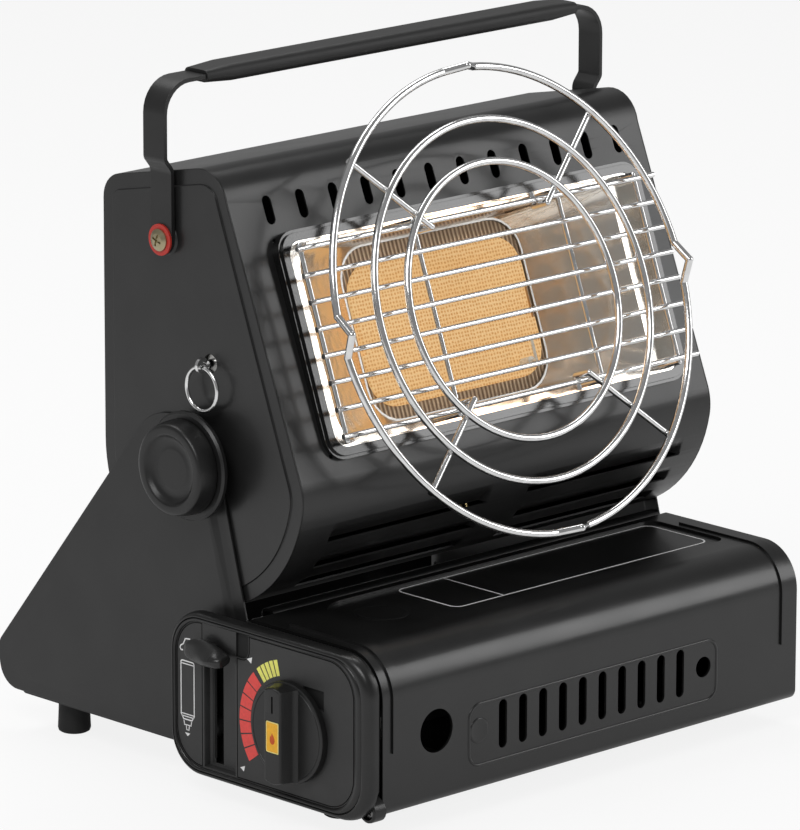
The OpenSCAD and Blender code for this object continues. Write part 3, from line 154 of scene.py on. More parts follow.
class Finish(Nodes):
    """A surface finish: a node material round one Principled shader."""

    def __init__(self, name, **sockets):
        self.material = bpy.data.materials.new(name)
        self.material.use_nodes = True
        super().__init__(self.material.node_tree)
        self.shader = self.tree.nodes["Principled BSDF"]
        self.set(**sockets)

    def set(self, **sockets):
        """Gives sockets of the shader by their names."""
        for name, value in sockets.items():
            self.link(value, self.shader.inputs[name.replace("_", " ")])

    def mapped(self, scale=(1, 1, 1), turn=(0, 0, 0), shift=(0, 0, 0)):
        place = self.node("ShaderNodeTexCoord", out="Object")
        return self.node("ShaderNodeMapping", {}, {0: place, 1: shift, 2: turn, 3: scale})

    def noise(self, scale, detail=2.0, stretch=(1, 1, 1), turn=(0, 0, 0)):
        return self.node("ShaderNodeTexNoise", {}, {
            "Vector": self.mapped(stretch, turn), "Scale": scale, "Detail": detail})

    def cells(self, scale):
        return self.node("ShaderNodeTexVoronoi", {}, {"Vector": self.mapped(), "Scale": scale})

    def ramp(self, value, *stops):
        return self.node("ShaderNodeValToRGB", {"stops": stops}, (value,))

    def blend(self, factor, low, high):
        """Colour between low and high."""
        return self.node("ShaderNodeMix", {"data_type": "RGBA"}, {0: factor, 6: low, 7: high}, out=2)

    def bump(self, height, distance, strength):
        self.set(Normal=self.node("ShaderNodeBump", {}, {
            "Strength": strength, "Distance": distance, "Height": height}))

    def between(self, value, low, high):
        """A number from low to high as value goes from 0 to 1."""
        return value * (high - low) + low


def grey(value):
    return (value, value, value)


def powder_coat(name, shade, rough, coat=0.0):
    """Black paint on sheet steel: fine orange peel, slightly uneven gloss."""
    paint = Finish(name, Specular_IOR_Level=0.45, Coat_Weight=coat, Coat_Roughness=0.12)
    cloud = paint.noise(40.0, 3.0)
    dust = paint.noise(900.0)
    paint.set(Base_Color=paint.ramp(cloud, (0.3, grey(shade * 0.8)), (0.7, grey(shade * 1.25))))
    paint.set(Roughness=paint.between(cloud * 0.7 + dust * 0.3, rough - 0.06, rough + 0.08))
    paint.bump(paint.noise(1500.0), 0.00005, 0.45)
    return paint


def moulded(name, shade, rough):
    """Moulded plastic with a fine spark-eroded grain."""
    plastic = Finish(name, Specular_IOR_Level=0.45)
    cloud = plastic.noise(90.0)
    plastic.set(Base_Color=plastic.ramp(cloud, (0.3, grey(shade * 0.85)), (0.7, grey(shade * 1.15))))
    plastic.set(Roughness=plastic.between(cloud, rough - 0.05, rough + 0.06))
    plastic.bump(plastic.cells(2300.0), 0.00005, 0.3)
    return plastic


def plated(name, shade, rough, tint=(1.0, 1.0, 1.0), streak=(1, 1, 1)):
    """Plated or polished metal with faint wiping marks."""
    metal = Finish(name, Metallic=1.0)
    smear = metal.noise(160.0, 3.0, streak)
    low, high = (tuple(min(shade * k * t, 1.0) for t in tint) for k in (0.88, 1.06))
    metal.set(Base_Color=metal.ramp(smear, (0.3, low), (0.7, high)))
    metal.set(Roughness=metal.between(smear, rough * 0.7, rough * 1.4))
    metal.bump(metal.noise(900.0, 2.0, streak), 0.00003, 0.3)
    return metal


def printed(name, colour, rough=0.5):
    """Screen-printed ink: faint speckle, slightly raised grain."""
    ink = Finish(name)
    speck = ink.noise(700.0)
    low = tuple(c * 0.9 for c in colour)
    ink.set(Base_Color=ink.ramp(speck, (0.35, low), (0.6, colour)),
            Roughness=ink.between(speck, rough, rough + 0.12))
    ink.bump(speck, 0.00002, 0.2)
    return ink


def polished_tray():
    """Thin polished sheet: soft waves, heat tint that deepens towards the burner."""
    metal = Finish("polished tray", Metallic=1.0)
    wave = metal.noise(26.0, 3.0, turn=(FACE_TILT, 0, 0))
    smear = metal.noise(120.0, 2.0, (1, 3, 3))
    middle = at(*(WINDOW @ Vector((0, 0, -20))))
    squash = (1.0, 1.0, 1.3)
    offset = metal.mapped(squash, (0, 0, 0), tuple(-c * k for c, k in zip(middle, squash)))
    away = metal.node("ShaderNodeVectorMath", {"operation": "LENGTH"}, (offset,), out=1)
    heat = metal.node("ShaderNodeMapRange", {}, (away, 0.055, 0.115, 0.0, 1.0))
    tint = metal.ramp(heat + (smear - 0.5) * 0.25, (0.0, (0.86, 0.62, 0.42)), (0.35, (0.85, 0.72, 0.58)),
                      (1.0, (0.8, 0.78, 0.74)))
    metal.set(Base_Color=tint, Roughness=metal.between(smear, 0.1, 0.24))
    metal.bump(wave, 0.004, 0.35)
    return metal


def ribbed_sheet():
    """Corrugated heat shield strips above and below the plaque, their crests painted light and their troughs
    painted shade.
    """
    metal = Finish("ribbed shield", Metallic=1.0)
    across = metal.node("ShaderNodeSeparateXYZ", {}, (metal.mapped(),))
    rib = (across * 2600.0).math("SINE")
    stain = metal.noise(45.0, 3.0)
    # colour follows the ribs: painted highlight on the crests, painted shade in the troughs
    crest = metal.between(rib, 0.5, 0.85)
    metal.set(Base_Color=metal.blend(crest, (0.16, 0.09, 0.05, 1), (0.78, 0.62, 0.45, 1)))
    metal.set(Roughness=metal.between(stain, 0.28, 0.5))
    metal.bump(rib * 0.5 + 0.5, 0.0008, 0.9)
    return metal


def glowing_plaque():
    """Pierced ceramic: staggered holes in waved bands, with an amber glow painted as emission and painted
    shade in the holes.
    """
    ceramic = Finish("glowing ceramic", Roughness=0.85)
    place = ceramic.mapped((1, 1, 1), (FACE_TILT, 0, 0))
    holes = ceramic.node("ShaderNodeTexVoronoi", {}, {
        "Vector": place, "Scale": 560.0, "Randomness": 0.25})
    cloud = ceramic.noise(30.0)
    band = ceramic.node("ShaderNodeTexWave", {"bands_direction": "Z"}, {
        "Vector": place, "Scale": 26.0, "Distortion": 1.2, "Detail": 1.0})
    body = ceramic.blend(cloud, (0.86, 0.47, 0.16, 1), (0.98, 0.66, 0.3, 1))
    body = ceramic.blend(band * 0.35, body, (1.0, 0.74, 0.4, 1))
    # hole mask: painted shade in the holes, and their depth in the bump
    hole_shade_and_depth = ceramic.node("ShaderNodeMapRange", {}, (holes, 0.18, 0.42, 0.0, 1.0))
    shade = ceramic.blend(hole_shade_and_depth, (0.62, 0.27, 0.06, 1), body)
    # the amber glow is painted light, given as emission
    ceramic.set(Base_Color=(0.42, 0.26, 0.13, 1.0), Emission_Color=shade, Emission_Strength=0.62)
    ceramic.bump(hole_shade_and_depth, 0.0005, 0.7)
    return ceramic


COAT = powder_coat("black powder coat", 0.014, 0.37)
COVER_COAT = powder_coat("cover coat", 0.009, 0.3, 0.15)
HEAD_COAT = powder_coat("head coat", 0.012, 0.33, 0.1)
TRIM_COAT = powder_coat("window trim enamel", 0.006, 0.14, 0.5)
PANEL_PLASTIC = moulded("panel plastic", 0.026, 0.46)
BEZEL_PLASTIC = moulded("bezel plastic", 0.012, 0.3)
KNOB_PLASTIC = moulded("knob plastic", 0.010, 0.36)
SLEEVE = moulded("soft sleeve", 0.011, 0.5)
# near-black painted shade for slots, grooves, recesses and the hidden sides of sheets
SHADE = moulded("painted shade", 0.003, 0.7)
DARK_SCREW = plated("dark screw", 0.2, 0.3)
LEVER_PLASTIC = moulded("lever plastic", 0.02, 0.28)
RUBBER = moulded("foot rubber", 0.012, 0.7)
CHROME = plated("chrome wire", 0.78, 0.12)
MIRROR = polished_tray()
RIBBED = ribbed_sheet()
ZINC = plated("zinc plate", 0.5, 0.34, (1.0, 0.99, 0.96), (1, 6, 1))
BRIGHT = plated("nickel plate", 0.7, 0.2)
BRASS = plated("turned brass", 0.62, 0.25, (1.0, 0.78, 0.38))
SCREW_BRASS = plated("aged brass", 0.42, 0.3, (1.0, 0.86, 0.55))
CASTING = plated("die casting", 0.55, 0.42)
WHITE_INK = printed("white print", (0.9, 0.9, 0.9))
RED_INK = printed("red print", (0.85, 0.08, 0.07))
YELLOW_INK = printed("yellow print", (0.95, 0.92, 0.2))
AMBER = printed("amber insert", (0.93, 0.47, 0.01), 0.3)
PALE_INK = printed("pale border", (0.95, 0.82, 0.3), 0.35)
FLAME_INK = printed("flame print", (0.6, 0.08, 0.0), 0.4)
RED_PLASTIC = printed("red washer", (0.5, 0.03, 0.02), 0.35)
PORCELAIN = printed("porcelain", (0.8, 0.78, 0.7), 0.2)
PLAQUE = glowing_plaque()


# ---- modelling ----

def corner_trim(before, corner, after, radius):
    """Distance from a corner to where its rounding starts."""
    sides = [Vector(end) - Vector(corner) for end in (before, after)]
    return radius / math.tan(sides[0].angle(sides[1]) / 2)


class Form:
    """A solid grown from one outline: its cap is inset, lifted and fitted step by step.

    Built in local millimetres u, v and w of a work plane."""

    def __init__(self, corners=(), radii=0.0, segments=6, height=0.0, floor=True):
        self.bm = bmesh.new()
        self.cap = None
        self.height = height
        if corners:
            self.add(corners, radii, segments, height, floor)

    def add(self, corners, radii, segments=6, height=0.0, floor=True):
        """Starts an outline, its corners rounded, with a floor face under the cap."""
        bm = self.bm
        count = len(corners)
        radii = [radii] * count if isinstance(radii, (int, float)) else radii
        made = [bm.verts.new((u, v, height)) for u, v in corners]
        bm.faces.new(made)
        for i, (vert, radius) in enumerate(zip(made, radii)):
            if radius > 0:
                trim = corner_trim(corners[i - 1], corners[i], corners[(i + 1) % count], radius)
                bmesh.ops.bevel(bm, geom=[vert], offset=trim, offset_type="OFFSET", affect="VERTICES",
                                segments=segments, profile=0.5, material=-1)
        bm.faces.ensure_lookup_table()
        self.cap = bm.faces[-1]
        if floor:
            twin = bmesh.ops.duplicate(bm, geom=[self.cap])["geom"]
            bmesh.ops.reverse_faces(bm, faces=[g for g in twin if isinstance(g, bmesh.types.BMFace)])
        self.cap.normal_update()
        if self.cap.normal.z < 0:
            self.cap.normal_flip()
        self.height = height
        return self

    def step(self, height=None, inset=0.0):
        """Raises the cap to a height, drawn inwards."""
        height = self.height if height is None else height
        bmesh.ops.inset_region(self.bm, faces=[self.cap], thickness=inset, depth=0.0,
                               use_even_offset=True, use_boundary=True)
        for vert in self.cap.verts:
            vert.co.z += height - self.height
        self.height = height
        return self

    def fit(self, low, high, height=None):
        """A step whose cap fills the box from low to high."""
        self.step(height)
        us = [v.co.x for v in self.cap.verts]
        vs = [v.co.y for v in self.cap.verts]
        for vert in self.cap.verts:
            vert.co.x = low[0] + (vert.co.x - min(us)) * (high[0] - low[0]) / (max(us) - min(us))
            vert.co.y = low[1] + (vert.co.y - min(vs)) * (high[1] - low[1]) / (max(vs) - min(vs))
        return self

    def rounded_top(self, height, radius, steps):
        """Rounds the rim that leads up to a cap at this height."""
        self.step(height - radius)
        drawn = 0.0
        for i in range(1, steps + 1):
            turn = math.pi / 2 * i / steps
            inset = radius * (1 - math.cos(turn)) - drawn
            drawn += inset
            self.step(height - radius + radius * math.sin(turn), inset)
        return self

    def flat_faces(self, box=None):
        """Flat faces at the cap's height, or those of them over a box."""
        return [f for f in self.bm.faces if abs(f.normal.z) > 0.99
                and all(abs(v.co.z - self.height) < 1e-4 for v in f.verts)
                and (box is None or overlaps(f, box))]

    def divide(self, point, normal, box=None):
        """Cuts the flat faces at the cap's height along a line."""
        geom = set(self.flat_faces(box))
        for face in list(geom):
            geom.update(face.edges)
            geom.update(face.verts)
        bmesh.ops.bisect_plane(self.bm, geom=list(geom), plane_co=(*point, self.height),
                               plane_no=(*normal, 0), dist=1e-5)
        self.bm.normal_update()
        return self

    def divide_round(self, u0, v0, u1, v1, box):
        """Cuts the flat faces over a box along the sides of a rectangle."""
        for point in ((u0, v0), (u1, v1)):
            self.divide(point, (1, 0), box)
        for point in ((u0, v0), (u1, v1)):
            self.divide(point, (0, 1), box)

    def island(self, u0, v0, u1, v1):
        """Cuts a rectangle out of the flat faces and makes it the cap."""
        box = (u0 - 0.01, v0 - 0.01, u1 + 0.01, v1 + 0.01)
        self.divide_round(u0, v0, u1, v1, box)
        self.join(u0, v0, u1, v1)
        return self.pick((u0 + u1) / 2, (v0 + v1) / 2)

    def join(self, u0, v0, u1, v1, keep=None):
        """Joins the flat faces whose middles lie in a box, apart from those in a smaller one."""
        self.bm.normal_update()
        inside = [f for f in self.flat_faces()
                  if within(f, (u0, v0, u1, v1)) and not (keep and within(f, keep))]
        if len(inside) > 1:
            bmesh.ops.dissolve_faces(self.bm, faces=inside)
        return self

    def pick(self, u, v, height=None):
        """Makes the flat face round a point the cap."""
        self.height = self.height if height is None else height
        self.bm.normal_update()
        self.cap = min(self.flat_faces(), key=lambda f: (f.calc_center_bounds().xy - Vector((u, v))).length)
        return self

    def round_hole(self, centre, radius):
        """Cuts a circle out of the flat faces and makes it the cap."""
        self.island(centre[0] - radius, centre[1] - radius, centre[0] + radius, centre[1] + radius)
        bmesh.ops.subdivide_edges(self.bm, edges=list(self.cap.edges), cuts=6)
        self.pick(*centre)
        for vert in self.cap.verts:
            away = (vert.co.xy - Vector(centre)).normalized() * radius
            vert.co.x, vert.co.y = centre[0] + away.x, centre[1] + away.y
        return self

    def paint(self, index):
        """Gives the cap, and what grows from it, another of the piece's finishes."""
        self.cap.material_index = index
        return self

    def groove(self, rim, width, depth, index):
        """A narrow groove that follows the cap's outline inside a flat rim."""
        own, top = self.cap.material_index, self.height
        self.step(inset=rim).paint(index).step(top - depth).step(inset=width).step(top)
        return self.paint(own)

    def open_cap(self):
        """Takes the cap away."""
        bmesh.ops.delete(self.bm, geom=[self.cap], context="FACES_ONLY")
        self.cap = None
        return self

    def open_through(self, low):
        """Takes the cap down to a floor and opens both there."""
        self.step(low)
        us = [v.co.x for v in self.cap.verts]
        vs = [v.co.y for v in self.cap.verts]
        self.open_cap()
        return self.island(min(us), min(vs), max(us), max(vs)).open_cap()

    def frame_wall(self, corners, radii, segments, wall, low, high):
        """A closed wall that follows an outline, open in the middle."""
        self.add(corners, radii, segments, low, floor=False)
        made = bmesh.ops.inset_region(self.bm, faces=[self.cap], thickness=wall, depth=0.0,
                                      use_even_offset=True, use_boundary=True)["faces"]
        self.open_cap()
        grown = bmesh.ops.extrude_face_region(self.bm, geom=made, use_keep_orig=True)["geom"]
        bmesh.ops.translate(self.bm, vec=(0, 0, high - low),
                            verts=[g for g in grown if isinstance(g, bmesh.types.BMVert)])
        return self

    def spin(self, profile, centre=(0, 0), segments=64):
        """Turns a profile of radius and height round an axis along w."""
        bm = self.bm
        verts = [bm.verts.new((centre[0] + r, centre[1], w)) for r, w in profile]
        edges = [bm.edges.new(pair) for pair in zip(verts, verts[1:])]
        bmesh.ops.spin(bm, geom=verts + edges, cent=(*centre, 0), axis=(0, 0, 1), angle=2 * math.pi,
                       steps=segments, use_merge=True)
        return self


def within(face, box):
    """Whether a face's middle lies in a box."""
    middle = face.calc_center_median()
    return box[0] < middle.x < box[2] and box[1] < middle.y < box[3]


def overlaps(face, box):
    """Whether a face reaches into a box."""
    us = [v.co.x for v in face.verts]
    vs = [v.co.y for v in face.verts]
    return min(us) < box[2] and max(us) > box[0] and min(vs) < box[3] and max(vs) > box[1]


def rectangle(u0, v0, u1, v1):
    return ((u0, v0), (u1, v0), (u1, v1), (u0, v1))


def arc(radius, start, end, count, centre=(0, 0)):
    """Points of an arc, its angles in degrees."""
    turns = [math.radians(start + (end - start) * i / count) for i in range(count + 1)]
    return [Vector((centre[0] + radius * math.cos(t), centre[1] + radius * math.sin(t))) for t in turns]


def weigh_normals(made, weight=80):
    """Lets the large faces lead the shading."""
    weigh = made.modifiers.new("even shading", "WEIGHTED_NORMAL")
    weigh.keep_sharp = True
    weigh.weight = weight


def new_object(name, bm, node, smooth, *finishes):
    """Makes an object of a finished mesh that rides with a node, smooth but for its sharp edges."""
    mesh = bpy.data.meshes.new(name)
    bm.to_mesh(mesh)
    bm.free()
    for finish in finishes:
        mesh.materials.append(finish.material)
    for polygon in mesh.polygons:
        polygon.use_smooth = True
    mesh.set_sharp_from_angle(angle=math.radians(smooth))
    made = bpy.data.objects.new(name, mesh)
    bpy.context.scene.collection.objects.link(made)
    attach(made, BODY_OF[node])
    return made


def piece(name, form, finish, node, replaces=False, smooth=35.0, others=(), plane=PANEL, weighed=True):
    """Places a form on its work plane, as a piece that belongs to a node or replaces it."""
    bm = form.bm if isinstance(form, Form) else form
    bmesh.ops.remove_doubles(bm, verts=bm.verts, dist=1e-4)
    bmesh.ops.transform(bm, matrix=TO_ROW @ plane, verts=bm.verts)
    bmesh.ops.recalc_face_normals(bm, faces=bm.faces)
    made = new_object(name, bm, node, smooth, finish, *others)
    if weighed:
        weigh_normals(made)
    if replaces:
        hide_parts(node)
    return made


# bend at which an edge of a node counts as hard
HARD = math.radians(34.0)
BODY_OF = {node: body for body, nodes in frame["record"]["behaviour"]["bodies"].items() for node in nodes}


def eased(node, finish, width):
    """A copy of a node with its hard edges broken, in place of the node."""
    bm = bmesh.new()
    bm.from_mesh(frame["nodes"][node].data)
    bmesh.ops.remove_doubles(bm, verts=bm.verts, dist=2e-6)
    bmesh.ops.dissolve_limit(bm, angle_limit=math.radians(0.6), verts=bm.verts, edges=bm.edges)
    hard = [e for e in bm.edges if e.is_manifold and e.calc_face_angle(0.0) > HARD]
    bmesh.ops.bevel(bm, geom=hard, offset=width * MM, offset_type="OFFSET", affect="EDGES",
                    segments=2, profile=0.5, clamp_overlap=True, material=-1)
    made = new_object(node + "_eased", bm, node, 40.0, finish)
    weigh_normals(made)
    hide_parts(node)
    return made


def shade_painted_faces(made, centre, facing):
    """Painted shade on the faces that look to a point, or with facing -1 on those that look away."""
    made.data.materials.append(SHADE.material)
    for face in made.data.polygons:
        if facing * (at(*centre) - face.center).dot(face.normal) > 0:
            face.material_index = 1


def give(finish, *names):
    """Finishes nodes whose solid shape stays as it is."""
    for name in names:
        mesh = frame["nodes"][name].data
        mesh.materials.clear()
        mesh.materials.append(finish.material)


# thickness of print over its surface and under it
INK = 0.07
INK_ROOT = 0.05


def ink_ring(form, outline, width, level, radii, segments):
    """A thin printed outline."""
    return form.frame_wall(outline, radii, segments, width, level - INK_ROOT, level + INK)


def ink_patch(form, outline, level):
    """A thin printed area."""
    form.add(outline, 0, 1, level - INK_ROOT)
    return form.step(level + INK)


def ink_line(form, a, b, width, level):
    """A thin printed line."""
    a, b = Vector(a), Vector(b)
    side = (b - a).orthogonal().normalized() * width / 2
    return ink_patch(form, [a - side, b - side, b + side, a + side], level)


def ring_slice(centre, inner, outer, start, end, count):
    """Outline of a slice of a ring, its angles in degrees."""
    return arc(outer, start, end, count, centre) + arc(inner, end, start, count, centre)


def capsule(a, b, radius):
    """Outline of two half circles joined by straight sides."""
    lean = math.degrees(math.atan2(b.y - a.y, b.x - a.x))
    return arc(radius, lean - 90, lean + 90, 10, b) + arc(radius, lean + 90, lean + 270, 10, a)


# ---- nodes that keep their solid shape ----

EASED = (
    (COAT, 0.5, "side_plate_left", "side_plate_right"),
    (COAT, 0.35, "floor_pan", "bay_rear_wall", "head_back", "handle_strap"),
    (HEAD_COAT, 0.45, "head_side_left", "head_side_right"),
    (COVER_COAT, 0.45, "cartridge_cover"),
    (TRIM_COAT, 0.7, "window_frame"),
    (MIRROR, 0.3, "reflector"),
    (RIBBED, 0.25, "plaque_holder"),
    (SLEEVE, 0.9, "grip_sleeve"),
)
copies = {node: eased(node, finish, width) for finish, width, *nodes in EASED for node in nodes}
# painted shade on the insides of the head's back and ends
for node in ("head_back", "head_side_left", "head_side_right"):
    shade_painted_faces(copies[node], PIVOT, 1)
# painted shade on the reflector's outside, seen through the vents
shade_painted_faces(copies["reflector"], WINDOW @ Vector((0, 0, 60)), -1)

give(ZINC, "cartridge_cradle", "valve_bracket", "cartridge_claw", "index_plate", "pivot_bush_right",
     "pivot_cup_left", "pivot_cup_right", "lock_pin_bush", "burner_box", "mixing_tube")
give(BRIGHT, "foot_rivets", "cover_hinge_pins", "valve_spindle", "pivot_stud_left", "pivot_stud_right",
     "back_screws")
give(CHROME, "grille", "grille_posts", "guard_rings", "pull_ring", "lock_pin")
give(SCREW_BRASS, "handle_screws")
give(DARK_SCREW, "panel_screws")
give(HEAD_COAT, "head_shell")
give(BRASS, "outlet_nipple", "gas_injector")
give(CASTING, "gas_regulator")
give(RED_PLASTIC, "handle_washers")
give(PLAQUE, "ceramic_plaque")
give(PORCELAIN, "ignition_electrode")
give(RUBBER, "rubber_feet")
give(KNOB_PLASTIC, "clamp_disc_left", "clamp_disc_right", "handle_bosses", "piezo_igniter")
give(PANEL_PLASTIC, "control_panel", "cartridge_lever")
give(KNOB_PLASTIC, "control_dial", "clamp_knob_left", "clamp_knob_right")
give(AMBER, "dial_insert")


# ---- control panel ----

# the backs of the body and of the plate, and the levels of the fields and the lever's channel
BODY_BACK = 1.7
PLATE_BACK = 8.7
FIELD = 12.9
CHANNEL_FLOOR = 9.2
# rims of the plate, the fields and the slot, and the two sides of the channel
PLATE = (-6.6, -0.5, 119.4, 73.5)
FIELD_BOX = (3.6, 3.5, 116.6, 69.5)
SLOT = (90.2, 6.0, 95.2, 62.5)
CHANNEL = (78.0, 99.4)
# the dial's middle
DIAL = Vector((42.7, 32.5))
# the bezel's roll: share of the way in from the plate's rim, and rise over its back
BEZEL_ROLL = ((0, 1.9), (0.03, 3.0), (0.08, 3.9), (0.16, 4.6), (0.26, 5.1), (0.36, 5.35), (0.44, 5.4),
              (0.5, 5.3), (0.54, 4.95), (0.57, 4.6), (0.6, 4.95), (0.66, 5.25), (0.74, 5.35),
              (0.82, 5.3), (0.9, 5.1), (0.96, 4.75), (1, 4.2))


def share(low, high, part):
    """Number a part of the way from low to high."""
    return low + (high - low) * part


def panel_plate():
    """Front plate: a rolled bezel round three flat fields, the middle one a sunk channel."""
    plate = Form(rectangle(*PLATE), 18.0, 12, PLATE_BACK)
    for part, rise in BEZEL_ROLL:
        corners = [share(rim, field, part) for rim, field in zip(PLATE, FIELD_BOX)]
        plate.fit(corners[:2], corners[2:], PLATE_BACK + rise)
    u0, v0, u1, v1 = FIELD_BOX
    plate.divide((CHANNEL[0], 0), (1, 0)).divide((CHANNEL[1], 0), (1, 0))
    middle = (v0 + v1) / 2
    # corner let down for the thumb piece, painted shade
    corner = (CHANNEL[0] - 7.8, v1 - 11.0, CHANNEL[0], v1)
    plate.island(*corner).paint(2)
    plate.join(u0, v0, CHANNEL[0], v1, corner)
    nearest = min(plate.cap.verts, key=lambda v: (v.co.xy - Vector(corner[:2])).length)
    bmesh.ops.bevel(plate.bm, geom=[nearest], offset=4.0, offset_type="OFFSET", affect="VERTICES", segments=5,
                    profile=0.5, material=-1)
    plate.pick(corner[2] - 3, corner[3] - 5).step(FIELD - 0.9, 0.1)
    # groove round the front field, painted shade
    plate.pick((u0 + CHANNEL[0]) / 2, middle, FIELD).paint(1).groove(0.35, 0.5, 0.55, 2)
    # recess behind the dial's rim, painted shade
    plate.island(22.7, 45.5, 35.7, 54.5).paint(2).step(FIELD - 1.3, 0.25)
    plate.height = FIELD
    plate.round_hole(DIAL, 8.4).open_through(PLATE_BACK)
    # groove round the rear field, painted shade
    plate.pick((CHANNEL[1] + u1) / 2, middle, FIELD).paint(1).groove(0.35, 0.45, 0.55, 2)
    plate.pick(sum(CHANNEL) / 2, middle, FIELD).paint(1).step(inset=0.7).step(FIELD - 0.8, 0.35)
    plate.step(CHANNEL_FLOOR + 0.8, 0.3).step(CHANNEL_FLOOR, 0.8)
    # narrow groove at the foot of the channel's rear wall, painted shade
    plate.island(CHANNEL[1] - 4.6, 8.0, CHANNEL[1] - 3.5, 66.0).paint(2).step(CHANNEL_FLOOR - 0.35, 0.1)
    plate.height = CHANNEL_FLOOR
    # slot with its walls painted shade
    plate.island(*SLOT).paint(2).open_through(PLATE_BACK)
    piece("panel_plate", plate, BEZEL_PLASTIC, "control_panel", True, 32.0, (PANEL_PLASTIC, SHADE))


def panel_body():
    """The smaller open body behind the plate, and a sheet of painted shade that closes it behind the slot."""
    body = Form().frame_wall(rectangle(0.2, 2.6, 111.0, 67.5), 12.0, 8, 2.5, BODY_BACK, PLATE_BACK)
    piece("panel_body", body, BEZEL_PLASTIC, "control_panel")
    # sheet of painted shade behind the slot
    shade_sheet = Form(rectangle(90.7, 3.0, 107.0, 67.0), 0, 1, BODY_BACK + 0.1).step(BODY_BACK + 0.9)
    piece("slot_shade_sheet", shade_sheet, SHADE, "control_panel")


def panel_ear(end, place, replaces):
    """Ear of the body with its countersunk seat painted shade, and the cross-head screw in it, its cross
    drawn in painted shade.
    """
    place = Vector(place)
    ear = Form(capsule(place, place.lerp(Vector((54.8, 36.5)), 0.16), 5.0), 0, 1, BODY_BACK)
    ear.rounded_top(PLATE_BACK - 0.1, 0.8, 3).step(inset=0.5).paint(1).step(PLATE_BACK - 2.2, 0.15)
    piece("panel_ear_" + end, ear, BEZEL_PLASTIC, "control_panel", smooth=40.0, others=(SHADE,))
    head = Form().spin(((0, 7.6), (1.6, 7.6), (2.6, 7.35), (3.2, 6.9), (3.3, 6.2), (0, 6.2)), place, 32)
    # the screw's cross: dark bars of painted shade standing for its recess
    for turn in (math.pi / 4, 3 * math.pi / 4):
        way = Vector((math.cos(turn), math.sin(turn)))
        side = way.orthogonal() * 0.38
        a, b = place - way * 1.9, place + way * 1.9
        head.add((a - side, b - side, b + side, a + side), 0, 1, 7.45).paint(1).step(7.66)
    piece("panel_screw_" + end, head, DARK_SCREW, "panel_screws", replaces, 40.0, (SHADE,))


panel_plate()
panel_body()
panel_ear("front", (0.6, 4.6), True)
panel_ear("rear", (108.4, 17.5), False)


# ---- printed marks on the panel ----

# the dial's scale: its middle, its radii, and the angles of its two ranges
SCALE = (44.2, 31.9)
SCALE_R = (24.6, 31.7)
RED_RANGE = (-37.0, 44.5)
YELLOW_RANGE = (48.5, 76.5)


def scale_range(name, ink, angles, count, before, after, facets=5):
    """Fields of one range of the dial's scale, with a gap before and after each."""
    fields = Form()
    for i in range(count):
        start, end = (share(*angles, k / count) for k in (i, i + 1))
        ink_patch(fields, ring_slice(SCALE, *SCALE_R, start + before, end - after, facets), FIELD)
    piece(name, fields, ink, "control_panel")


def white_marks():
    """Arrow heads, the outline of a cartridge and of its catch."""
    marks = Form()
    arrow_heads = (((71.1, 59.0), (67.8, 60.3), (68.4, 57.4)), ((75.6, 9.0), (72.6, 10.2), (73.3, 7.6)),
                   ((111.2, 17.1), (107.8, 17.1), (109.5, 15.6)))
    for outline in arrow_heads:
        ink_patch(marks, outline, FIELD)
    shell = ((104.9, 50.0), (104.9, 25.2), (106.6, 22.9), (112.2, 22.9), (113.9, 25.2), (113.9, 50.0))
    ink_ring(marks, shell, 0.55, FIELD, (1.2, 0, 0, 0, 0, 1.2), 4)
    for v in (48.4, 25.6, 24.5):
        ink_line(marks, (105.3, v), (113.5, v), 0.45, FIELD)
    valve = (((106.9, 22.6), (107.3, 20.7)), ((111.9, 22.6), (111.5, 20.7)), ((107.0, 20.7), (111.8, 20.7)),
             ((108.4, 20.4), (108.7, 18.4)), ((110.4, 20.4), (110.1, 18.4)), ((108.4, 18.5), (110.4, 18.5)))
    for a, b in valve:
        ink_line(marks, a, b, 0.42, FIELD)
    catch = ((107.6, 60.2), (110.7, 59.8), (112.1, 57.2), (113.6, 56.4), (114.2, 55.3), (113.4, 54.2),
             (112.3, 54.5))
    for a, b in zip(catch, catch[1:]):
        ink_line(marks, a, b, 0.6, FIELD)
    piece("white_marks", marks, WHITE_INK, "control_panel")


scale_range("scale_red", RED_INK, RED_RANGE, 7, 0.6, 0.6)
scale_range("scale_yellow", YELLOW_INK, YELLOW_RANGE, 5, 0.55, 0.75, 3)
white_marks()


# ---- dial ----

# radius of the disc, and the ways out of the disc, the grip and the insert
DIAL_R = 22.6
DIAL_OUT = 16.4
GRIP_OUT = 24.7
INSERT_OUT = 24.55
# the grip's sections: way out, half width and half height
GRIP_SECTIONS = ((17.0, 7.2, 22.0), (17.6, 6.6, 21.9), (19.0, 6.2, 21.8), (23.7, 5.1, 21.6),
                 (24.3, 4.95, 21.4), (24.6, 4.7, 21.15), (GRIP_OUT, 4.35, 20.8))


def dial_disc():
    """Flat disc with a turned line near its rim."""
    rim = [(DIAL_R - inwards, DIAL_OUT - back) for inwards, back in (
        (0.4, 3.2), (0, 2.9), (0, 0.7), (0.15, 0.3), (0.5, 0.05), (0.9, 0), (1.5, 0), (1.65, 0.2),
        (1.85, 0.2), (2.0, 0))]
    disc = Form().spin([(8.0, 3.0), (8.0, DIAL_OUT - 3.2)] + rim + [(0.0, DIAL_OUT)], DIAL, 96)
    piece("dial_disc", disc, KNOB_PLASTIC, "control_dial", True, 30.0)


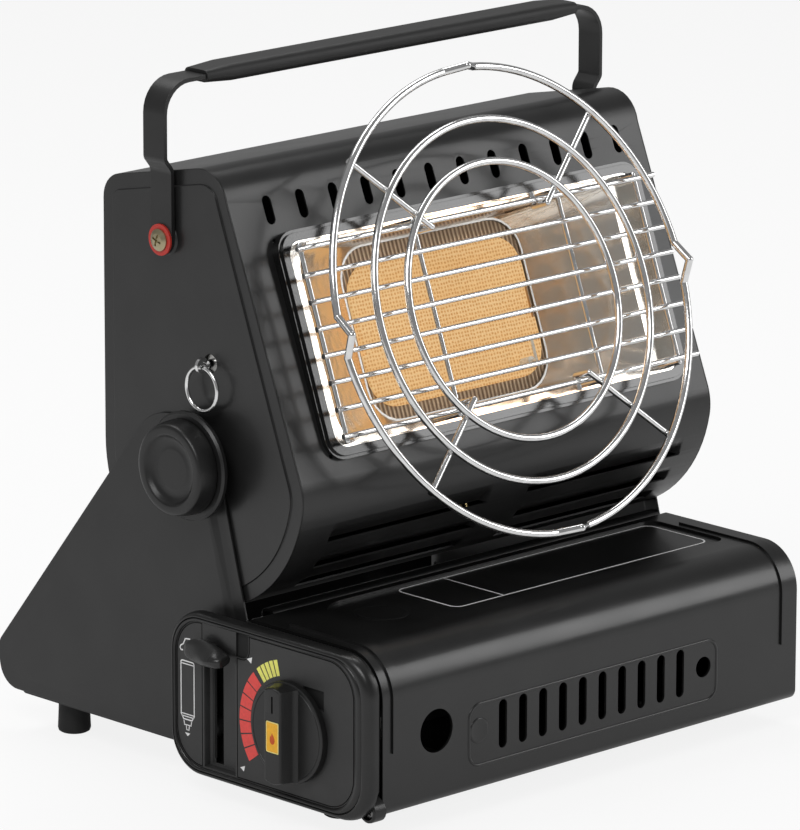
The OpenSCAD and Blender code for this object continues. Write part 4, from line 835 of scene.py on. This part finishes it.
def dial_grip():
    """Full-height grip that narrows outwards, with a pointer groove painted shade and a seat for the insert.
    """
    reach, half = 22.0, 7.6
    lean = math.degrees(math.asin(half / reach))
    outline = [p for start in (90 - lean, 270 - lean) for p in arc(reach, start, start + 2 * lean, 8, DIAL)]
    grip = Form(outline, 0, 1, 16.2)
    for out, wide, tall in GRIP_SECTIONS:
        grip.fit(DIAL - Vector((wide, tall)), DIAL + Vector((wide, tall)), out)
    grip.island(DIAL.x - 0.5, DIAL.y + 10.3, DIAL.x + 0.5, DIAL.y + 17.9).paint(1).step(GRIP_OUT - 1.3)
    grip.height = GRIP_OUT
    grip.island(DIAL.x - 4.1, DIAL.y - 7.5, DIAL.x + 4.1, DIAL.y + 6.7).step(GRIP_OUT - 0.7)
    piece("dial_grip", grip, KNOB_PLASTIC, "control_dial", smooth=32.0, others=(SHADE,))


def dial_insert():
    """Amber insert with a raised pale border, and the flame on it."""
    plate = Form(rectangle(DIAL.x - 4.0, DIAL.y - 7.4, DIAL.x + 4.0, DIAL.y + 6.6), 0.9, 5, GRIP_OUT - 0.7)
    plate.step(24.52).step(24.62, 0.12).step(24.62, 0.42)
    plate.paint(1).step(24.52, 0.1).step(INSERT_OUT, 0.1)
    piece("dial_insert_plate", plate, PALE_INK, "dial_insert", True, 30.0, (AMBER,))
    flame = Form()
    base = DIAL - Vector((0, 1.4))
    drop = ((0, 3.1), (0.55, 1.9), (0.5, 1.2), (1.0, 1.7), (1.45, 0.5), (1.5, -0.6), (1.1, -1.6), (0.4, -2.1),
            (-0.4, -2.1), (-1.1, -1.6), (-1.5, -0.6), (-1.35, 0.6), (-0.8, 1.7), (-0.25, 2.3))
    ink_patch(flame, [base + Vector(p) for p in drop], INSERT_OUT + 0.01)
    piece("dial_flame", flame, FLAME_INK, "dial_insert")


dial_disc()
dial_grip()
dial_insert()


# ---- cartridge lever ----

# the pin's stem at rest: place along the channel, and height
LEVER_Y = 87.8
LEVER_Z = 59.0
# the slot and what shows of the lever lie this much further to the rear than the claw's own slot
LEVER_SHIFT = 5.0
# the thumb piece's sections from its tip: place along it, height, way out, half thickness, half
# height, and twist in degrees
THUMB_SECTIONS = (
    (23.4, -1.6, 18.9, 0.3, 1.4, 2), (23.1, -1.5, 18.9, 0.8, 2.6, 2), (22.0, -1.2, 18.8, 1.1, 3.6, 3),
    (20.0, -0.9, 18.6, 1.2, 4.5, 4), (17.5, -0.7, 18.4, 1.3, 5.0, 7), (15.0, -0.8, 18.1, 1.5, 5.3, 13),
    (12.5, -1.0, 17.9, 1.8, 5.4, 22), (10.0, -1.4, 17.7, 2.2, 5.3, 34), (7.5, -1.9, 17.4, 2.6, 5.0, 48),
    (5.0, -2.4, 17.0, 2.8, 4.6, 60), (3.0, -2.8, 16.7, 2.7, 4.2, 68), (1.4, -3.0, 16.3, 2.3, 3.6, 74),
    (0.6, -3.1, 16.1, 1.4, 2.4, 78))
THUMB_FOOT = LEVER_Y + LEVER_SHIFT - 12.0
# 2 gives round sections, more gives squarer ones
FULLNESS = 3.2


def thumb():
    """Twisted horn: flat paddle towards the rear that rolls into a thick root over the slot."""
    bm = bmesh.new()
    rings = []
    across = axes((0, 0, 0), (0, 0, 1), (0, 1, 0), (1, 0, 0))
    for along, up, out, half_w, half_v, twist in THUMB_SECTIONS:
        made = bmesh.ops.create_circle(bm, cap_ends=False, radius=1.0, segments=40)["verts"]
        for vert in made:
            # round section drawn towards a softened rectangle
            fill = (abs(vert.co.x) ** FULLNESS + abs(vert.co.y) ** FULLNESS) ** (-1 / FULLNESS)
            vert.co = (vert.co.x * half_w * fill, vert.co.y * half_v * fill, 0)
        turn = Matrix.Rotation(math.radians(twist), 4, "Z")
        place = Matrix.Translation((THUMB_FOOT + along, LEVER_Z + up, out))
        bmesh.ops.transform(bm, matrix=place @ across @ turn, verts=made)
        rings.append(list({e for v in made for e in v.link_edges}))
    for first, second in zip(rings, rings[1:]):
        bmesh.ops.bridge_loops(bm, edges=first + second)
    bmesh.ops.holes_fill(bm, edges=bm.edges, sides=60)
    return bm


def lever():
    """Thumb piece, the cranked stem through the slot, and the pin in the claw's slot."""
    piece("lever_thumb", thumb(), LEVER_PLASTIC, "cartridge_lever", True, 50.0)
    y = LEVER_Y + LEVER_SHIFT
    low, high = LEVER_Z - 2.5, LEVER_Z + 2.5
    stem = Form(rectangle(y - 2.2, low, y + 2.2, high), 0.8, 3, 3.2).step(15.5).step(16.0, 0.4)
    stem.add(rectangle(LEVER_Y - 2.4, low, y + 2.2, high), 0.8, 3, 3.0).step(6.0).step(6.4, 0.4)
    stem.add(rectangle(LEVER_Y - 2.4, low, LEVER_Y + 2.4, high), 0.8, 3, -9.5).step(3.1)
    stem.add(rectangle(76.0, low, LEVER_Y, high), 0.6, 3, -9.5).step(-5.5)
    piece("lever_stem", stem, LEVER_PLASTIC, "cartridge_lever")
    pin = Form().spin(((0, 0), (1.3, 0), (1.5, 0.2), (1.5, 5.0), (0, 5.0)), segments=24)
    side = axes((7.5, 76.2, LEVER_Z), (1, 0, 0), (0, 0, 1), (0, -1, 0))
    piece("lever_pin", pin, LEVER_PLASTIC, "cartridge_lever", plane=side)


lever()


# ---- clamp knobs ----

# radius, and the way out of the face from the side plate
KNOB_R = 21.3
KNOB_OUT = 17.5


def clamp_knob(name, plane):
    """Round knob: flat rim, shallow dish and a level middle."""
    side = [(KNOB_R - inwards, KNOB_OUT - back) for inwards, back in (
        (0.9, 9.7), (0.3, 9.4), (0, 8.7), (0.1, 6.0), (0.6, 2.9), (1.0, 1.3), (1.4, 0.5), (2.1, 0.1),
        (3.0, 0))]
    dish = [(radius, KNOB_OUT - back) for radius, back in (
        (16.4, 0), (15.8, 0.2), (15.3, 0.7), (14.6, 1.6), (13.6, 2.3), (12.2, 2.65), (10.6, 2.7), (9.4, 2.5),
        (8.6, 2.4), (0, 2.35))]
    knob = Form().spin([(6.2, 4.0), (6.2, KNOB_OUT - 9.7)] + side + dish, (PIVOT.y, PIVOT.z), 96)
    piece(name + "_turned", knob, KNOB_PLASTIC, name, True, 38.0, plane=plane)


clamp_knob("clamp_knob_left", left_end(0))
clamp_knob("clamp_knob_right", right_end(BASE_W))


# ---- cartridge cover ----

# depth of the label's recess in the cover's top
LABEL_SUNK = 1.2


def cover_label():
    """Bare printed frame with one divider, in the recess of the cover's top."""
    lines = ink_ring(Form(), rectangle(80.3, 36.8, 241.0, 76.2), 0.75, -LABEL_SUNK, 5.0, 6)
    ink_line(lines, (110.0, 37.2), (110.0, 75.9), 0.6, -LABEL_SUNK)
    piece("cover_label_frame", lines, WHITE_INK, "cartridge_cover", plane=TOP)


def cover_pressing():
    """Soft pressed line round the slots, and the blind dimple beside them."""
    width, rise = 1.5, 0.45
    line = Form().frame_wall(rectangle(51.4, 11.0, 208.0, 40.2), 7.0, 8, width, -0.05, rise)
    bm = line.bm
    crest = {v for v in bm.verts if v.co.z > rise - 1e-4}
    rims = [e for e in bm.edges if crest.issuperset(e.verts)
            and len([f for f in e.link_faces if abs(f.normal.z) > 0.9]) == 1]
    bm.normal_update()
    bmesh.ops.bevel(bm, geom=rims, offset=width * 0.42, offset_type="OFFSET", affect="EDGES",
                    segments=3, profile=0.5, material=-1)
    dimple = ((0, 0.1), (3.6, 0.12), (4.6, 0.3), (5.3, 0.35), (5.8, 0.05), (5.8, -0.05))
    line.spin(dimple, (58.0, 27.5), 48)
    piece("cover_pressed_line", line, COVER_COAT, "cartridge_cover", smooth=60.0, plane=FRONT)


def cover_dish():
    """Round pressed dish beside the label."""
    ring = ((10.0, 0.06), (10.9, 0.3), (11.5, 0.35), (12.2, 0.05), (12.2, -0.05))
    piece("cover_round_dish", Form().spin(ring, (51.5, 54.4)), COVER_COAT, "cartridge_cover", smooth=60.0,
          plane=TOP @ Matrix.Translation((0, 0, -LABEL_SUNK)))


cover_label()
cover_pressing()
cover_dish()


# ---- head sheet ----

# Side outline of the head, round the tilt axis: the round belly and back, the way the flat top
# faces in degrees and its distance, and the roundings below the face, over it and at the back.
HEAD_R = 64.0
HEAD_TOP = 78.6
TOP_REACH = 128.5
CHIN_R = 25.0
BROW_R = 16.0
TAIL_R = 12.0
# thickness of the sheet, its ends and its middle
SHEET = 0.8
SHEET_X0 = 3.6
SHEET_X1 = BASE_W - SHEET_X0
MIDDLE = BASE_W / 2 + WINDOW_X
# row of vents over the window
VENTS = 12
VENT_PITCH = 19.54
VENT_W = 5.2
VENT_H = 13.0
VENT_UP = 98.8
# what is left round the window, and beside, over and under the rear opening
WINDOW_RIM = 2.0
REAR_SIDE = 18.0
REAR_HIGH = 92.0
REAR_LOW = -16.0
# louvres in two columns: length, gap between the columns, angles of their lower edges, angle that
# each spans, depth, and length of its soft ends
LOUVRE_L = 98.0
LOUVRE_GAP = 24.0
LOUVRE_ANGLES = (207.0, 221.5, 236.0)
LOUVRE_SPAN = 9.0
LOUVRE_DEPTH = 3.0
LOUVRE_END = 3.6


def corner_arc(before, corner, after, radius, count):
    """Points of the arc that rounds a corner."""
    u, w = (before - corner).normalized(), (after - corner).normalized()
    half = u.angle(w) / 2
    centre = corner + (u + w).normalized() * radius / math.sin(half)
    ends = [corner + d * radius / math.tan(half) - centre for d in (u, w)]
    start, end = (math.degrees(math.atan2(p.y, p.x)) for p in ends)
    turn = (end - start + 180) % 360 - 180
    return arc(radius, start, start + turn, count, centre)


def crossing(angle_a, reach_a, angle_b, reach_b):
    """Crossing of two lines given by their normals' angles and distances."""
    a, b = math.radians(angle_a), math.radians(angle_b)
    return Vector((reach_a * math.sin(b) - reach_b * math.sin(a),
                   reach_b * math.cos(a) - reach_a * math.cos(b))) / math.sin(b - a)


def head_profile():
    """Side outline of the head from its lowest point forwards, round and back to it."""
    face = 180 - math.degrees(FACE_TILT)
    inner = FACE_F - CHIN_R
    drop = math.sqrt((HEAD_R - CHIN_R) ** 2 - inner ** 2)
    low = face + math.degrees(math.atan2(drop, inner))
    chin = arc(inner, face, face, 1)[0] - Vector((math.sin(FACE_TILT), math.cos(FACE_TILT))) * drop
    brow = crossing(face, FACE_F, HEAD_TOP, TOP_REACH)
    tail = crossing(HEAD_TOP, TOP_REACH, 0, HEAD_R)
    path = arc(HEAD_R, 270, low, 32) + arc(CHIN_R, low, face, 8, chin)
    path += corner_arc(chin, brow, tail, BROW_R, 8) + corner_arc(brow, tail, Vector((HEAD_R, 0)), TAIL_R, 8)
    path += arc(HEAD_R, 0, -90, 24)
    return [p for i, p in enumerate(path) if i == 0 or (p - path[i - 1]).length > 1e-6]


class Wrap:
    """Carries a flat sheet round an outline: v runs along it and w out of it."""

    def __init__(self, path):
        self.path = path
        self.marks = [0.0]
        for a, b in zip(path, path[1:]):
            self.marks.append(self.marks[-1] + (b - a).length)
        sides = [(b - a).normalized() for a, b in zip(path, path[1:])]
        self.sides = [Vector((-d.y, d.x)) for d in sides]
        ends = [self.sides[-1]] + self.sides + [self.sides[0]]
        self.knots = [(a + b).normalized() for a, b in zip(ends, ends[1:])]

    def near(self, point):
        """Length along the outline at its nearest place to a point."""
        places = []
        for a, b, mark in zip(self.path, self.path[1:], self.marks):
            part = min(max((point - a).dot(b - a) / (b - a).length_squared, 0), 1)
            places.append(((a + (b - a) * part - point).length, mark + (b - a).length * part))
        return min(places)[1]

    def place(self, v, w):
        """Where a point of the sheet comes to lie, in y and z."""
        i = max(k for k in range(len(self.sides)) if self.marks[k] <= v + 1e-7)
        part = min((v - self.marks[i]) / (self.marks[i + 1] - self.marks[i]), 1.0)
        side = self.sides[i]
        if part < 1e-4:
            side = self.knots[i]
        elif part > 1 - 1e-4:
            side = self.knots[i + 1]
        flat = self.path[i].lerp(self.path[i + 1], part) + side * w
        return PIVOT.y + flat.x, PIVOT.z + flat.y


def face_point(up):
    """Place on the front face by its height along it from the tilt axis."""
    return Vector((-FACE_F * math.cos(FACE_TILT) + up * math.sin(FACE_TILT),
                   FACE_F * math.sin(FACE_TILT) + up * math.cos(FACE_TILT)))


def cut_vent(form, u, v):
    """Cuts a slot with half-round ends."""
    form.island(u - VENT_W / 2, v - VENT_H / 2, u + VENT_W / 2, v + VENT_H / 2)
    bmesh.ops.subdivide_edges(form.bm, edges=list(form.cap.edges), cuts=7)
    form.pick(u, v)
    for vert in form.cap.verts:
        across, along = vert.co.x - u, vert.co.y - v
        if abs(along) > VENT_H / 2 - 1e-3:
            turn = math.pi * across / VENT_W
            vert.co.x = u + VENT_W / 2 * math.sin(turn)
            vert.co.y = v + math.copysign((VENT_H - VENT_W + VENT_W * math.cos(turn)) / 2, along)
        else:
            vert.co.y = v + along * (VENT_H - VENT_W) / VENT_H
    form.open_cap()


def cut_opening(form, *box):
    """Cuts a rectangle out of the sheet."""
    form.divide_round(*box, box)
    bmesh.ops.delete(form.bm, geom=[f for f in form.flat_faces() if within(f, box)], context="FACES_ONLY")


def press_louvre(form, u0, v0, u1, v1):
    """Cuts a louvre free and sinks its lower edge; its ends and its upper edge stay on the sheet."""
    box = (u0, v0, u1, v1)
    ends = [LOUVRE_END * i / 3 for i in range(4)]
    for u in [u0 + end for end in ends] + [u1 - end for end in reversed(ends)]:
        form.divide((u, 0), (1, 0), box)
    for i in range(7):
        form.divide((0, share(v0, v1, i / 6)), (0, 1), box)
    form.bm.normal_update()
    panel = [f for f in form.flat_faces() if within(f, box)]
    cut = bmesh.ops.split(form.bm, geom=panel)["geom"]
    for vert in (v for v in cut if isinstance(v, bmesh.types.BMVert)):
        fade = min(min(vert.co.x - u0, u1 - vert.co.x) / LOUVRE_END, 1.0)
        sunk = math.sin(math.pi / 2 * (v1 - vert.co.y) / (v1 - v0)) ** 2
        vert.co.z = -LOUVRE_DEPTH * sunk * math.sin(math.pi / 2 * max(fade, 0.0)) ** 1.5


def head_sheet():
    """One sheet cut flat, its louvres pressed, then carried round the head's outline."""
    wrap = Wrap(head_profile())
    form = Form(rectangle(SHEET_X0, 0, SHEET_X1, wrap.marks[-1]), 0, 1, 0.0, floor=False)
    for mark in wrap.marks[1:-1]:
        form.divide((0, mark), (0, 1))
    for i in range(VENTS):
        cut_vent(form, MIDDLE + (i - (VENTS - 1) / 2) * VENT_PITCH, wrap.near(face_point(VENT_UP)))
    half_w, half_h = WINDOW_W / 2 - WINDOW_RIM, WINDOW_H / 2 - WINDOW_RIM
    window = [wrap.near(face_point(WINDOW_UP + side * half_h)) for side in (-1, 1)]
    cut_opening(form, MIDDLE - half_w, window[0], MIDDLE + half_w, window[1])
    # the foot of the rear opening lies on the round of the belly
    foot = Vector((math.sqrt(HEAD_R ** 2 - REAR_LOW ** 2), REAR_LOW))
    cut_opening(form, SHEET_X0 + REAR_SIDE, wrap.near(Vector((HEAD_R, REAR_HIGH))), SHEET_X1 - REAR_SIDE,
                wrap.near(foot))
    for angle in LOUVRE_ANGLES:
        v0, v1 = (wrap.near(arc(HEAD_R, a, a, 1)[0]) for a in (angle, angle - LOUVRE_SPAN))
        for u0 in (MIDDLE - LOUVRE_GAP / 2 - LOUVRE_L, MIDDLE + LOUVRE_GAP / 2):
            press_louvre(form, u0, v0, u0 + LOUVRE_L, v1)
    bmesh.ops.remove_doubles(form.bm, verts=form.bm.verts[:], dist=1e-4)
    for vert in form.bm.verts:
        vert.co = (vert.co.x, *wrap.place(vert.co.y, vert.co.z))
    made = piece("head_sheet", form, HEAD_COAT, "head_shell", True, 38.0, (SHADE,), Matrix.Identity(4), False)
    wall = made.modifiers.new("sheet", "SOLIDIFY")
    wall.thickness = SHEET * MM
    wall.offset = -1.0
    wall.use_even_offset = True
    # the sheet's inner side is painted shade
    wall.material_offset = 1
    edge = made.modifiers.new("broken edge", "BEVEL")
    edge.width = 0.25 * MM
    edge.segments = 2
    edge.limit_method = "ANGLE"
    edge.angle_limit = math.radians(50)
    weigh_normals(made, 50)


head_sheet()


# ---- floor, light and camera ----

# strength of the world's light on the object
WORLD_LEVEL = 0.27
# how white the floor looks of itself, and how much of that shows in a reflection
FLOOR_GLOW = 0.86
FLOOR_GLOSS = 0.25
# the camera's place, its turn in degrees and its focal length
CAMERA_PLACE = (-1974.7725, -2055.8358, 904.519)
CAMERA_TURN = (75.71477, -0.1166, -43.96441)
FOCAL_LENGTH = 302.097


def ray(nodes, kind):
    """Whether a ray is of a kind, such as Camera."""
    return nodes.node("ShaderNodeLightPath", out="Is " + kind + " Ray")


def studio_floor():
    """Pale paper that the camera sees as nearly white, with the object's shadow on it."""
    mesh = bpy.data.meshes.new("studio floor")
    mesh.from_pydata([(u, v, 0) for u, v in rectangle(-6, -6, 6, 6)], [], [(0, 1, 2, 3)])
    floor = bpy.data.objects.new("studio_floor", mesh)
    bpy.context.scene.collection.objects.link(floor)
    paper = Finish("pale paper", Base_Color=(0.86, 0.86, 0.86, 1.0), Roughness=0.9)
    seen = ray(paper, "Camera") + ray(paper, "Transmission") + ray(paper, "Glossy") * FLOOR_GLOSS
    glow = paper.node("ShaderNodeEmission", {}, {"Color": (1, 1, 1, 1), "Strength": 1.0})
    matt = Val(paper, paper.shader.outputs[0])
    mix = paper.node("ShaderNodeMixShader", {}, {0: seen * FLOOR_GLOW, 1: matt, 2: glow})
    paper.link(mix, paper.tree.nodes["Material Output"].inputs["Surface"])
    mesh.materials.append(paper.material)


def studio_world():
    """White where the camera sees it, and a weaker light on everything else."""
    world = bpy.data.worlds.new("studio")
    bpy.context.scene.world = world
    world.use_nodes = True
    sky = Nodes(world.node_tree)
    seen = ray(sky, "Camera").math("MAXIMUM", ray(sky, "Transmission"))
    back = sky.tree.nodes["Background"]
    sky.link((1, 1, 1, 1), back.inputs["Color"])
    sky.link(seen * (1 - WORLD_LEVEL) + WORLD_LEVEL, back.inputs["Strength"])


def soft_lamp(name, place, target, size, power):
    """A rectangular lamp that faces its target; metres and watts."""
    data = bpy.data.lights.new(name, "AREA")
    data.shape = "RECTANGLE"
    data.size, data.size_y = size
    data.energy = power
    lamp = bpy.data.objects.new(name, data)
    bpy.context.scene.collection.objects.link(lamp)
    lamp.location = place
    lamp.rotation_euler = (Vector(target) - Vector(place)).to_track_quat("-Z", "Y").to_euler()


def portrait_camera():
    """A long lens that looks down a little on the front and the left end."""
    data = bpy.data.cameras.new("camera")
    data.lens = FOCAL_LENGTH
    data.sensor_width = 36.0
    data.sensor_fit = "AUTO"
    data.clip_end = 50.0
    camera = bpy.data.objects.new("camera", data)
    bpy.context.scene.collection.objects.link(camera)
    camera.location = at(*CAMERA_PLACE)
    camera.rotation_euler = [math.radians(turn) for turn in CAMERA_TURN]
    bpy.context.scene.camera = camera


studio_floor()
studio_world()
soft_lamp("high left softbox", (-1.3, -0.5, 1.5), (0, 0, 0.15), (1.0, 0.8), 15.0)
soft_lamp("top softbox", (0.3, 0.7, 1.7), (0, 0, 0.2), (1.4, 0.7), 15.0)
soft_lamp("front right softbox", (1.4, -1.3, 0.9), (0, 0, 0.12), (0.5, 1.2), 9.0)
portrait_camera()
bpy.context.scene.view_settings.view_transform = "Standard"
